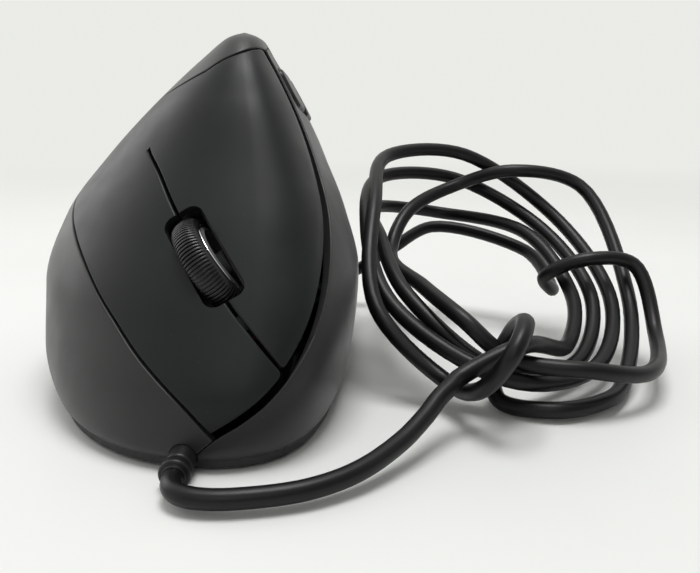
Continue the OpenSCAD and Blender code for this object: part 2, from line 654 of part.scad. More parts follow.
module root_leg() {
  half = peg_reach + peg_r + 1;
  p = in_frame(ROOT, [0, 0, -peg_depth - 3]);
  translate([p[0], p[1], base_top]) rotate(atan2(ROOT_RUN[1], ROOT_RUN[0]))
    translate([-half, -root_half, 0]) cube([2 * half, 2 * root_half, body_height]);
}
module inner_frame() {
  foot = [frame_x[1] - frame_x[0], frame_y[1] - frame_y[0], frame_foot];
  color("#3a3b3d") difference() {
    union() {
      translate([frame_x[0], frame_y[0], base_top]) cube(foot);
      for (p = frame_posts) translate([p[0], p[1], base_top]) cylinder(r = post_r, h = post_h, $fn = 48);
      difference() {
        for (p = leg_places) board_leg(p);
        past_board();
      }
      difference() {
        root_leg();
        past_root();
        board_room();
      }
    }
    for (p = frame_posts) translate([p[0], p[1], base_top - eps])
      cylinder(r = screw_r - thread_bite, h = post_h - post_floor, $fn = 48);
    at(WHEEL) for (p = leg_places) translate([p[0], p[1], board_back - pilot_depth])
      cylinder(r = pilot_r, h = pilot_depth + cut, $fn = 48);
    at(ROOT) for (x = [-peg_reach, peg_reach]) translate([x, 0, -peg_depth - peg_pin_l - cut])
      cylinder(r = peg_pin_r + axle_clear, h = peg_pin_l + 2 * cut, $fn = 48);
  }
}

// side board
module side_board() {
  color("#1f5a3a") at(SIDE) difference() {
    translate([-side_board_half, side_board_y[0], side_board_z - board_t])
      cube([2 * side_board_half, side_board_y[1] - side_board_y[0], board_t]);
    for (x = [-side_post_x, side_post_x]) translate([x, side_post_y, side_board_z - board_t - cut])
      cylinder(r = screw_r, h = board_t + 2 * cut, $fn = 48);
  }
}
module side_switch(x) color("#232428") at(SIDE) translate([x, 0, side_board_z]) tact();
module side_plunger(x) color("#c9472f") at(SIDE) translate([x, 0, side_board_z + tact_h - plunger_in])
  cylinder(r = plunger_r, h = plunger_in + plunger_out, $fn = 48);
module forward_switch() side_switch(-side_switch_x);
module back_switch() side_switch(side_switch_x);
module forward_plunger() side_plunger(-side_switch_x);
module back_plunger() side_plunger(side_switch_x);

// base plate, main board and what sits on it
main_x = [-10, 20];
main_y = [2, 46];
main_z = base_top + board_lift;
main_top = main_z + board_t;
main_posts = [[-7, 5.5], [17, 5.5], [-7, 42.5], [17, 42.5]];
eye_at = [5, 25];
lens_r = 2.6;
lens_half = 7;
lens_t = 1.4;
lens_hole = 4.5;
lens_clear = 0.4;
lens_seat_r = 6.8;
outline_count = 96;
module base_screw_places() {
  for (a = concat(PALM_POSTS, THUMB_POSTS)) translate(post_place(a)) children();
  for (p = frame_posts) translate(p) children();
}
module base_plate() {
  color("#1c1d1e") difference() {
    union() {
      translate([0, 0, base_z]) linear_extrude(base_t)
        polygon([for (i = [0:outline_count - 1])
          let (q = [360 * i / outline_count, base_top], p = skin(q), n = normal(q))
          [p[0], p[1]] - base_inset * unit([n[0], n[1]])]);
      for (p = main_posts) translate([p[0], p[1], base_top - cut])
        cylinder(r = post_r, h = board_lift + cut, $fn = 48);
      translate([eye_at[0], eye_at[1], base_top - cut])
        cylinder(r = lens_seat_r, h = board_lift - lens_t + cut, $fn = 64);
    }
    translate([eye_at[0], eye_at[1], base_z - cut])
      cylinder(r = lens_hole, h = base_t + board_lift + 2 * cut, $fn = 64);
    for (p = main_posts) translate([p[0], p[1], main_z - board_screw_l])
      cylinder(r = pilot_r, h = board_screw_l + cut, $fn = 48);
    base_screw_places() translate([0, 0, base_z - cut]) {
      cylinder(r = screw_r + screw_clear, h = base_t + 2 * cut, $fn = 48);
      cylinder(r = screw_head_r + screw_clear, h = cut + screw_head_h, $fn = 48);
    }
    relief_opening();
  }
}
module base_screws() {
  color("#8d9093") base_screw_places() translate([0, 0, base_z]) {
    cylinder(r = screw_head_r, h = screw_head_h, $fn = 48);
    cylinder(r = screw_r - screw_clear, h = base_t + post_h - 2 * post_floor, $fn = 48);
  }
}
module board_screw() {
  cylinder(r = board_screw_head_r, h = screw_head_h, $fn = 48);
  translate([0, 0, -board_screw_l]) cylinder(r = pilot_r - axle_clear, h = board_screw_l + cut / 2, $fn = 48);
}
module board_screws() {
  color("#8d9093") {
    at(WHEEL) for (p = leg_places) translate([p[0], p[1], board_z]) board_screw();
    for (p = main_posts) translate([p[0], p[1], main_top]) board_screw();
    at(SIDE) for (x = [-side_post_x, side_post_x]) translate([x, side_post_y, side_board_z - board_t])
      mirror([0, 0, 1]) board_screw();
  }
}
foot_r = 4;
foot_half = 8;
CROSS_FEET = [[10, -43], [5, 47]];
SIDE_FEET = [[-23, -12], [23, 3]];
module foot() linear_extrude(foot_t) {
  square([2 * foot_half, 2 * foot_r], center = true);
  for (x = [-foot_half, foot_half]) translate([x, 0]) circle(r = foot_r, $fn = 64);
}
module glide_feet() {
  color("#0f0f10") {
    for (p = CROSS_FEET) translate([p[0], p[1] * ky, 0]) foot();
    for (p = SIDE_FEET) translate([p[0] * kx, p[1], 0]) rotate(90) foot();
  }
}
module main_board() {
  color("#1f5a3a") difference() {
    translate([main_x[0], main_y[0], main_z]) cube([main_x[1] - main_x[0], main_y[1] - main_y[0], board_t]);
    for (p = main_posts) translate([p[0], p[1], main_z - cut])
      cylinder(r = screw_r, h = board_t + 2 * cut, $fn = 48);
    translate([eye_at[0], eye_at[1], main_z - cut])
      cylinder(r = lens_r + lens_clear, h = board_t + 2 * cut, $fn = 48);
  }
}
sensor_size = [10, 13, 2.6];
module sensor() color("#141416") translate([eye_at[0], eye_at[1], main_top + sensor_size[2] / 2])
  cube(sensor_size, center = true);
module sensor_lens() {
  color("#cfe3ea") {
    translate([eye_at[0] - lens_half, eye_at[1] - lens_half, main_z - lens_t])
      cube([2 * lens_half, 2 * lens_half, lens_t]);
    translate([eye_at[0], eye_at[1], base_top]) cylinder(r = lens_r, h = board_lift + board_t, $fn = 48);
  }
}
lamp_y = 10;
lamp_z = main_top + 2.8;
lamp_r = 1.5;
lamp_l = 6;
lamp_rim = [2, 1];
clip_size = [6.4, 5, 5.6];
module lamp() color("#c23b2e") translate([eye_at[0], lamp_y + lamp_l, lamp_z]) rotate([90, 0, 0]) {
  cylinder(r = lamp_r, h = lamp_l, $fn = 48);
  translate([0, 0, lamp_l]) cylinder(r = lamp_rim[0], h = lamp_rim[1], $fn = 48);
}
module lamp_clip() color("#1b1c1e") difference() {
  translate([eye_at[0] - clip_size[0] / 2, lamp_y, main_top]) cube(clip_size);
  translate([eye_at[0], lamp_y + clip_size[1] + cut, lamp_z]) rotate([90, 0, 0])
    cylinder(r = lamp_r + axle_clear, h = clip_size[1] + 2 * cut, $fn = 48);
}
controller_at = [10, 30];
controller_size = [7, 7, 1.3];
module controller() color("#141416") translate([controller_at[0], controller_at[1], main_top])
  cube(controller_size);
header_at = [0, 3];
header_size = [9, 4.5, 5];
module cable_header() color("#e7e2d3") translate([header_at[0] - header_size[0] / 2, header_at[1], main_top])
  cube(header_size);

// round tubes swept along a route
function tube_point(c, x, y, r, k, n) = c + r * (cos(360 * k / n) * x + sin(360 * k / n) * y);
function tangent(c, i) = unit(c[min(i + 1, len(c) - 1)] - c[max(i - 1, 0)]);
function sides_from(c, i, x) = i >= len(c) ? [] :
  let (t = tangent(c, i), y = unit(x - (x * t) * t)) concat([y], sides_from(c, i + 1, y));
module tube(c, r, n, side) {
  xs = sides_from(c, 0, side);
  m = len(c);
  points = [for (i = [0:m - 1]) let (t = tangent(c, i), y = cross(t, xs[i]))
    for (k = [0:n - 1]) tube_point(c[i], xs[i], y, r, k, n)];
  faces = concat([[for (k = [0:n - 1]) k]], [[for (k = [n - 1:-1:0]) (m - 1) * n + k]],
    [for (i = [0:m - 2]) for (k = [0:n - 1]) let (a = i * n + k, b = i * n + (k + 1) % n)
      each [[a, a + n, b], [b, a + n, b + n]]]);
  polyhedron(points = points, faces = faces, convexity = 8);
}
// a smooth route through its points, straight at both ends
function glide(c, i, t) =
  let (p0 = c[i - 1], p1 = c[i], p2 = c[i + 1], p3 = c[i + 2],
    a = sqrt(norm(p1 - p0)), b = sqrt(norm(p2 - p1)), d = sqrt(norm(p3 - p2)),
    m1 = p2 - p1 + b * ((p1 - p0) / a - (p2 - p0) / (a + b)),
    m2 = p2 - p1 + b * ((p3 - p2) / d - (p3 - p1) / (b + d)),
    u = t * t, v = u * t)
  p1 * (2 * v - 3 * u + 1) + m1 * (v - 2 * u + t) + p2 * (3 * u - 2 * v) + m2 * (v - u);
function route(c, n) = concat([c[0]], [for (i = [1:len(c) - 3]) for (k = [0:n - 1]) glide(c, i, k / n)],
  [c[len(c) - 2], c[len(c) - 1]]);
wire_r = 1.1;
wire_out = 4;
wire_rings = 4;
lead_r = 1.2;
lead_clear = 0.6;
// the lead goes over the frame's foot, beside the leg at the front
LEAD_LEG = in_frame(WHEEL, [leg_places[2][0], leg_places[2][1], board_back]);
lead_x = LEAD_LEG[0] - leg_w / 2 - lead_r - lead_clear;
lead_y = LEAD_LEG[1] - leg_w / 2;
lead_over = base_top + frame_foot + lead_r + 0.2;
header_z = main_top + 2.4;
LEAD = [[relief_x, relief_in, relief_z], [relief_x, relief_in + 3, relief_z],
  [relief_x + 0.2, lead_rise - 1.5, base_top + lead_r + 0.2], [lead_x - 0.4, lead_y - 1, lead_over],
  [lead_x, lead_y + leg_l - 3, lead_over], [9, -17, lead_over], [7.5, -8, lead_over + 1],
  [3, -3, header_z - 1.2], [1, 0, header_z], [1, header_at[1], header_z]];
BOARD_WIRES = [in_frame(WHEEL, [-14, 0, board_back]), in_frame(WHEEL, [-14, 0, board_back - wire_out]),
  [8, -6, 24], [13, 2, 18], [14, 7, 13.5], [14, 8, main_top + wire_out / 2], [14, 8, main_top]];
side_board_back = side_board_z - board_t;
SIDE_WIRES = [in_frame(SIDE, [3, -5, side_board_back]), in_frame(SIDE, [3, -5, side_board_back - wire_out]),
  [8, 16, 40], [10, 22, 26], [14, 22, 15], [15, 22, main_top + wire_out / 2], [15, 22, main_top]];
module cable_lead() color("#101011") tube(route(LEAD, wire_rings), lead_r, 8, [0, 0, 1]);
module board_wires() color("#7a2f2a") tube(route(BOARD_WIRES, wire_rings), wire_r, 8, [1, 0, 0]);
module side_wires() color("#33506e") tube(route(SIDE_WIRES, wire_rings), wire_r, 8, [1, 0, 0]);
relief_groove_depth = 0.45;
relief_waist = relief_neck_r - relief_groove_depth;
module strain_relief() color("#141415") relief_axis() rotate_extrude($fn = 64) polygon([[0, -relief_in],
  [relief_neck_r, -relief_in], [relief_neck_r, -relief_groove], [relief_waist, -relief_groove],
  [relief_waist, -relief_flange], [relief_r, -relief_flange], [relief_r, -relief_end], [0, -relief_end]]);

// cord: a free stretch, a leaning coil bound by two turns of its own, and a tail with the plug
coil_middle = [63, 2];
coil_r = [31, 33];
coil_lift = 26;
coil_rise = 21;
coil_high = 120;
COIL_UP = unit([0.33, -0.57, 1]);
// a place by the coil: angle round it, offset outward and offset up from its ring
function coil_place(v) =
  [coil_middle[0] + (coil_r[0] + v[1]) * cos(v[0]), coil_middle[1] + (coil_r[1] + v[1]) * sin(v[0]),
    coil_lift + coil_rise * cos(v[0] - coil_high)] + v[2] * COIL_UP;
// a turn round the loops: angle, half its advance, middle, reach, first and last part, in sixths
function turn(a, half, c, r, first, from, to) = [for (i = [from:to])
  [a - half + half * i / 3, c[0] + r[0] * cos(first + 60 * i), c[1] + r[1] * sin(first + 60 * i)]];
COIL = concat(
  [[-90, 2, 9], [-45, -8.5, 4], [0, -8, 0], [45, -7, -5], [90, -3, -17], [135, -4, -16], [180, -10.5, -9]],
  [[225, -6.5, -1], [-90, 0, 0], [-45, -4, 0], [0, -3.5, 0], [45, -2.5, -3], [90, 0, -5], [135, -2, -6]],
  [[180, -6, -4.5], [225, -2, -2.5], [-90, 4.8, 0.5], [-45, 0.5, 0], [0, 1, 0], [45, 2.5, 0], [90, 0, 3]],
  [[135, -2, 1], [180, -6, 2], [225, 3, -2.2], [-105, 6, -5.5]],
  turn(-94, 6, [4.5, 4.5], [10.5, 10.5], -90, 1, 6),
  [[-75, 10, -4], [-60, 10, -3], [-45, 8, -3], [0, 5.5, 0], [45, 9, 9], [67, -2, 5], [90, -6, -7]],
  [[135, -16, -16], [180, -15, -15], [225, -10.5, 1], [-110, -3, 7], [-90, 0.5, 4.5], [-67, 6, 6]],
  [[-45, 11, 2], [-15, 10.5, -2]],
  turn(12, 9, [-1, -0.6], [12, 8], 0, 1, 4),
  [[45, 0, -13], [90, 0, -23]]);
CORD_OUT = [[relief_x, relief_end, relief_z], [relief_x, relief_end - 1.4, relief_z], [5.8, -69.7, 2.8],
  [7.8, -71.3, 2.7], [10.8, -72, 2.6], [16, -71.9, 2.6], [26, -69.6, 2.8], [34, -64.8, 3.4], [41.5, -57, 5],
  [46, -51.3, 7.1], [48.8, -47.4, 8.9], [51, -45, 10]];
CORD_COIL = concat([[51, -45, 10], [53.2, -42.6, 11.1]], [for (v = COIL) coil_place(v)],
  [[46, 46, 19], [43.4, 47.2, 17.2]]);
CORD_TAIL = [[43.4, 47.2, 17.2], [40.8, 48.4, 15.4], [33, 51, 10], [22, 60, 5], [8, 72, 3.5], [-3, 77, 4],
  [-6.2, 78.2, 4]];
function self_gap(c, skip) =
  min([for (i = [0:len(c) - 1]) for (j = [i + skip:1:len(c) - 1]) norm(c[i] - c[j])]) - cord_d;
cord_rings = 3;
module cable() color("#0d0d0e") tube(route(CORD_OUT, cord_rings), cord_d / 2, 8, [0, 0, 1]);
module cable_coil() {
  c = route(CORD_COIL, cord_rings);
  echo(coil_self_gap = self_gap(c, 7));
  color("#0d0d0e") tube(c, cord_d / 2, 6, [0, 0, 1]);
}
module cable_tail() color("#0d0d0e") tube(route(CORD_TAIL, cord_rings), cord_d / 2, 8, [0, 0, 1]);

// plug at the end of the cord
plug_end = CORD_TAIL[6];
plug_run = CORD_TAIL[6] - CORD_TAIL[5];
grip_neck_r = 3;
grip_neck_l = 5;
grip_l = 20;
grip_w = 15;
grip_h = 8;
grip_round = 2;
shell_l = 12;
shell_w = 12;
shell_h = 4.5;
shell_t = 0.4;
tongue_w = 10.6;
tongue_t = 1.8;
tongue_lift = 0.1;
tongue_short = 1;
module plug_place() translate(plug_end) rotate(atan2(plug_run[1], plug_run[0])) children();
module plug_grip() color("#0d0d0e") plug_place() {
  rotate([0, 90, 0]) cylinder(r = grip_neck_r, h = grip_neck_l + cut, $fn = 64);
  translate([grip_neck_l, 0, -grip_h / 2]) linear_extrude(grip_h) {
    translate([grip_round, -grip_w / 2]) square([grip_l - grip_round, grip_w]);
    translate([0, grip_round - grip_w / 2]) square([grip_l, grip_w - 2 * grip_round]);
    for (y = [-1, 1]) translate([grip_round, y * (grip_w / 2 - grip_round)]) circle(r = grip_round, $fn = 48);
  }
}
module plug_shell() color("#c4c8cc") plug_place() translate([grip_neck_l + grip_l, 0, 0]) difference() {
  translate([0, -shell_w / 2, -shell_h / 2]) cube([shell_l, shell_w, shell_h]);
  translate([-cut, shell_t - shell_w / 2, shell_t - shell_h / 2])
    cube([shell_l + 2 * cut, shell_w - 2 * shell_t, shell_h - 2 * shell_t]);
}
module plug_tongue() color("#e9e9e6") plug_place()
  translate([grip_neck_l + grip_l, -tongue_w / 2, shell_t + tongue_lift - shell_h / 2])
  cube([shell_l - tongue_short, tongue_w, tongue_t]);

base_plate();
palm_shell();
thumb_shell();
key_plate();
left_key();
right_key();
back_button();
forward_button();
wheel_tyre();
wheel_hub();
wheel_rings();
wheel_cradle();
wheel_bracket();
wheel_emitter();
wheel_detector();
button_board();
left_switch();
right_switch();
left_plunger();
right_plunger();
press_switch();
press_plunger();
inner_frame();
side_board();
back_switch();
forward_switch();
back_plunger();
forward_plunger();
main_board();
sensor();
sensor_lens();
lamp();
lamp_clip();
controller();
cable_header();
board_wires();
side_wires();
base_screws();
board_screws();
glide_feet();
strain_relief();
cable_lead();
cable();
cable_coil();
cable_tail();
plug_grip();
plug_shell();
plug_tongue();
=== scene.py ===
"""Looks of an upright mouse with a bundled cord, in metres, around its fixed frame."""

import bisect
import json
import logging
import math
from collections.abc import Callable, Iterable
from dataclasses import dataclass, field
from enum import Enum, auto
from typing import NamedTuple

import bmesh
import bpy
from mathutils import Matrix, Vector
from mathutils.kdtree import KDTree


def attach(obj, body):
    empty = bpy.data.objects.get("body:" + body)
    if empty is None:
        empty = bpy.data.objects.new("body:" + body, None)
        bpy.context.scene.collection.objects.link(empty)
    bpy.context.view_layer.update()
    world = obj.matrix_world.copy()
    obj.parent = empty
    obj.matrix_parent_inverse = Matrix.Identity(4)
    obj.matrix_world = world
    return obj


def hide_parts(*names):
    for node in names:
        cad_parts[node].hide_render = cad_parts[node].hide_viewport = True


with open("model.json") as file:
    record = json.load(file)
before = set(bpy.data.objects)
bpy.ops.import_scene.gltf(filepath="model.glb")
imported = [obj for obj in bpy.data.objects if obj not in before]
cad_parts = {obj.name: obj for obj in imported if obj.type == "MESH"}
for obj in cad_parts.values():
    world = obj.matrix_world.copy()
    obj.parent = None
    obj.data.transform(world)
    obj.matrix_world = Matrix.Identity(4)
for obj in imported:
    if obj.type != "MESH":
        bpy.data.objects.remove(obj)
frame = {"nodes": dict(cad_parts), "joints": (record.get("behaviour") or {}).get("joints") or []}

log = logging.getLogger("mouse")
MM = 0.001
SMOOTH_ANGLE = math.radians(38.0)
Curve = tuple[tuple[float, float], ...]
Colour = tuple[float, ...]


class Side(Enum):
    """The four edges of a patch of skin."""

    LOW = auto()
    HIGH = auto()
    NEAR = auto()
    FAR = auto()


class Body(Enum):
    """The rigid bodies that the new pieces ride on."""

    MAIN = "body"
    LEFT_KEY = "left_key"
    RIGHT_KEY = "right_key"
    WHEEL = "wheel"
    BACK_BUTTON = "back_button"
    FORWARD_BUTTON = "forward_button"


# Finishes


MOTTLE_DETAIL = 4.0
DRIFT_DETAIL = 3.0
DRIFT_SHARE = 0.7
GRAIN_DETAIL = 2.0
GRAIN_HEIGHT = 0.4
SHEEN_ROUGHNESS = 0.4
DUST_EDGE = (0.03, 0.07)
DUST_GAIN = 2.2
DUST_LIFT = 0.05
MIX_SHARE, MIX_FIRST, MIX_SECOND, MIX_COLOUR = 0, 6, 7, 2


@dataclass(frozen=True)
class Finish:
    """A moulded, rubber or metal surface with its fine detail.

    Sizes of the mottle, grain and dust are in metres.
    """

    name: str
    colour: Colour
    roughness: float = 0.5
    roughness_spread: float = 0.06
    metallic: float = 0.0
    specular: float = 0.5
    mottle: float = 0.12
    mottle_size: float = 0.012
    grain_size: float = 0.00025
    grain_bump: float = 0.12
    dust: float = 0.0
    dust_size: float = 0.0022
    sheen: float = 0.0
    transmission: float = 0.0
    stretch: tuple[float, float, float] = (1.0, 1.0, 1.0)

    def material(self) -> bpy.types.Material:
        """Make the finish's node material, or find it if it is made already.

        Returns:
            The material of this name.
        """
        known = bpy.data.materials.get(self.name)
        if known:
            return known
        made = bpy.data.materials.new(self.name)
        made.use_nodes = True
        tree = made.node_tree
        shader = tree.nodes["Principled BSDF"]
        shader.inputs["Metallic"].default_value = self.metallic
        shader.inputs["Specular IOR Level"].default_value = self.specular
        shader.inputs["Sheen Weight"].default_value = self.sheen
        shader.inputs["Sheen Roughness"].default_value = SHEEN_ROUGHNESS
        shader.inputs["Transmission Weight"].default_value = self.transmission
        place = self._place(tree)
        tree.links.new(self._colour(tree, place), shader.inputs["Base Color"])
        tree.links.new(self._gloss(tree, place), shader.inputs["Roughness"])
        tree.links.new(self._grain(tree, place), shader.inputs["Normal"])
        return made

    def _place(self, tree: bpy.types.NodeTree) -> bpy.types.NodeSocket:
        """Object coordinates, stretched along the finish's lay.

        Args:
            tree: The material's node tree.

        Returns:
            The vector socket that every pattern reads.
        """
        source = tree.nodes.new("ShaderNodeTexCoord")
        mapping = tree.nodes.new("ShaderNodeMapping")
        mapping.inputs["Scale"].default_value = self.stretch
        tree.links.new(source.outputs["Object"], mapping.inputs["Vector"])
        return mapping.outputs["Vector"]

    def _noise(self, tree: bpy.types.NodeTree, place: bpy.types.NodeSocket, size: float,
               detail: float) -> bpy.types.NodeSocket:
        """A noise whose lumps are about size metres across.

        Args:
            tree: The material's node tree.
            place: The vector that it reads.
            size: The size of its lumps.
            detail: The octaves of finer noise in it.

        Returns:
            The noise's value, about 0.5 on average.
        """
        node = tree.nodes.new("ShaderNodeTexNoise")
        node.inputs["Scale"].default_value = 1.0 / size
        node.inputs["Detail"].default_value = detail
        tree.links.new(place, node.inputs["Vector"])
        return node.outputs["Fac"]

    @staticmethod
    def _ranged(tree: bpy.types.NodeTree, value: bpy.types.NodeSocket, low: float, high: float,
                start: float = 0.3, end: float = 0.7) -> bpy.types.NodeSocket:
        """Map a value from start..end to low..high.

        Args:
            tree: The material's node tree.
            value: The value to map.
            low: The result at start.
            high: The result at end.
            start: The value that gives low.
            end: The value that gives high.

        Returns:
            The mapped value.
        """
        node = tree.nodes.new("ShaderNodeMapRange")
        node.inputs["From Min"].default_value = start
        node.inputs["From Max"].default_value = end
        node.inputs["To Min"].default_value = low
        node.inputs["To Max"].default_value = high
        tree.links.new(value, node.inputs["Value"])
        return node.outputs["Result"]

    @staticmethod
    def _mixed(tree: bpy.types.NodeTree, share: bpy.types.NodeSocket,
               first: bpy.types.NodeSocket | Colour, second: Colour) -> bpy.types.NodeSocket:
        """Mix a colour, given as a socket or three numbers, with a second one.

        Args:
            tree: The material's node tree.
            share: The share of the second colour.
            first: The first colour.
            second: The second colour.

        Returns:
            The mixed colour.
        """
        node = tree.nodes.new("ShaderNodeMix")
        node.data_type = "RGBA"
        tree.links.new(share, node.inputs[MIX_SHARE])
        if isinstance(first, bpy.types.NodeSocket):
            tree.links.new(first, node.inputs[MIX_FIRST])
        else:
            node.inputs[MIX_FIRST].default_value = (*first, 1.0)
        node.inputs[MIX_SECOND].default_value = (*second, 1.0)
        return node.outputs[MIX_COLOUR]

    def _colour(self, tree: bpy.types.NodeTree,
                place: bpy.types.NodeSocket) -> bpy.types.NodeSocket:
        """The mottled base colour, with pale specks of dust where the finish holds them.

        Args:
            tree: The material's node tree.
            place: The vector that the patterns read.

        Returns:
            The colour socket.
        """
        dark = tuple(c * (1.0 - self.mottle) for c in self.colour)
        light = tuple(min(1.0, c * (1.0 + self.mottle)) for c in self.colour)
        clouds = self._noise(tree, place, self.mottle_size, MOTTLE_DETAIL)
        colour = self._mixed(tree, self._ranged(tree, clouds, 0.0, 1.0), dark, light)
        if self.dust <= 0.0:
            return colour
        cells = tree.nodes.new("ShaderNodeTexVoronoi")
        cells.inputs["Scale"].default_value = 1.0 / self.dust_size
        tree.links.new(place, cells.inputs["Vector"])
        specks = self._ranged(tree, cells.outputs["Distance"], self.dust, 0.0, *DUST_EDGE)
        pale = tuple(min(1.0, c * DUST_GAIN + DUST_LIFT) for c in self.colour)
        return self._mixed(tree, specks, colour, pale)

    def _gloss(self, tree: bpy.types.NodeTree, place: bpy.types.NodeSocket) -> bpy.types.NodeSocket:
        """Roughness that drifts a little over the surface.

        Args:
            tree: The material's node tree.
            place: The vector that the pattern reads.

        Returns:
            The roughness socket.
        """
        drift = self._noise(tree, place, self.mottle_size * DRIFT_SHARE, DRIFT_DETAIL)
        low = max(0.02, self.roughness - self.roughness_spread)
        return self._ranged(tree, drift, low, min(1.0, self.roughness + self.roughness_spread))

    def _grain(self, tree: bpy.types.NodeTree, place: bpy.types.NodeSocket) -> bpy.types.NodeSocket:
        """The fine moulded grain as a bump.

        Args:
            tree: The material's node tree.
            place: The vector that the pattern reads.

        Returns:
            The normal socket.
        """
        bump = tree.nodes.new("ShaderNodeBump")
        bump.inputs["Strength"].default_value = self.grain_bump
        bump.inputs["Distance"].default_value = self.grain_size * GRAIN_HEIGHT
        grain = self._noise(tree, place, self.grain_size, GRAIN_DETAIL)
        tree.links.new(grain, bump.inputs["Height"])
        return bump.outputs["Normal"]


SOFT_TOUCH = Finish("soft_touch_black", (0.0160, 0.0165, 0.0160), 0.45, 0.05, specular=0.40,
                    mottle=0.10, dust=0.35, grain_bump=0.10, sheen=0.09)
KEY_TOUCH = Finish("key_black", (0.0098, 0.0118, 0.0118), 0.43, 0.05, specular=0.26,
                   mottle=0.10, dust=0.25, grain_bump=0.09)
BUTTON_SATIN = Finish("button_satin_black", (0.011, 0.011, 0.0115), 0.36, 0.04, specular=0.3,
                      grain_bump=0.05)
BASE_MATTE = Finish("base_matte_black", (0.012, 0.012, 0.0125), 0.62, grain_bump=0.25,
                    grain_size=0.0004)
TYRE_RUBBER = Finish("tyre_black", (0.008, 0.008, 0.0082), 0.34, 0.04, specular=0.42, mottle=0.2,
                     mottle_size=0.004, grain_bump=0.04)
HUB_SATIN = Finish("hub_satin_grey", (0.11, 0.112, 0.116), 0.34, 0.03, grain_bump=0.04)
RING_CHROME = Finish("ring_chrome", (0.82, 0.83, 0.84), 0.14, 0.03, 1.0, mottle=0.03,
                     grain_bump=0.02)
CORD_RUBBER = Finish("cord_black", (0.0040, 0.0040, 0.0043), 0.38, 0.04, specular=0.30,
                     mottle=0.2, mottle_size=0.006, grain_bump=0.05, grain_size=0.0003, dust=0.10,
                     dust_size=0.003)
RELIEF_RUBBER = Finish("relief_rubber", (0.0075, 0.0075, 0.0078), 0.38, specular=0.35,
                       grain_bump=0.1)
FRAME_GREY = Finish("frame_grey", (0.06, 0.06, 0.063), 0.55, grain_bump=0.2)
CHIP_BLACK = Finish("chip_black", (0.016, 0.016, 0.017), 0.5, grain_bump=0.2)
PLUNGER_RED = Finish("plunger_red", (0.42, 0.05, 0.025), 0.35, grain_bump=0.04)
BOARD_GREEN = Finish("solder_mask_green", (0.007, 0.042, 0.021), 0.3, mottle=0.35,
                     mottle_size=0.0016, grain_bump=0.1)
LAMP_RED = Finish("lamp_lens_red", (0.45, 0.03, 0.02), 0.15, transmission=0.5, grain_bump=0.0)
CLEAR_LENS = Finish("clear_lens", (0.85, 0.9, 0.92), 0.08, 0.02, transmission=0.9, mottle=0.02,
                    grain_bump=0.0)
HEADER_IVORY = Finish("header_ivory", (0.62, 0.58, 0.46), 0.4, grain_bump=0.05)
WIRE_SLEEVE = Finish("wire_red", (0.16, 0.03, 0.025), 0.4, grain_bump=0.05)
SCREW_STEEL = Finish("steel_turned", (0.42, 0.43, 0.44), 0.32, 0.08, 1.0, mottle=0.1,
                     stretch=(8.0, 1.0, 1.0))
FOOT_FILM = Finish("foot_film", (0.01, 0.01, 0.0105), 0.24, mottle=0.2, dust=0.3)
PLUG_NICKEL = Finish("plug_nickel", (0.6, 0.61, 0.63), 0.25, 0.07, 1.0, mottle=0.06,
                     grain_size=0.0006, grain_bump=0.06, stretch=(1.0, 6.0, 1.0))
TONGUE_WHITE = Finish("tongue_white", (0.8, 0.8, 0.77), 0.35, grain_bump=0.05)


# The skin of the body


class Section(NamedTuple):
    """A level cut of the body: its height, its four sides and the place of its middle."""

    height: float
    finger: float
    thumb: float
    front: float
    rear: float
    middle_x: float
    middle_y: float


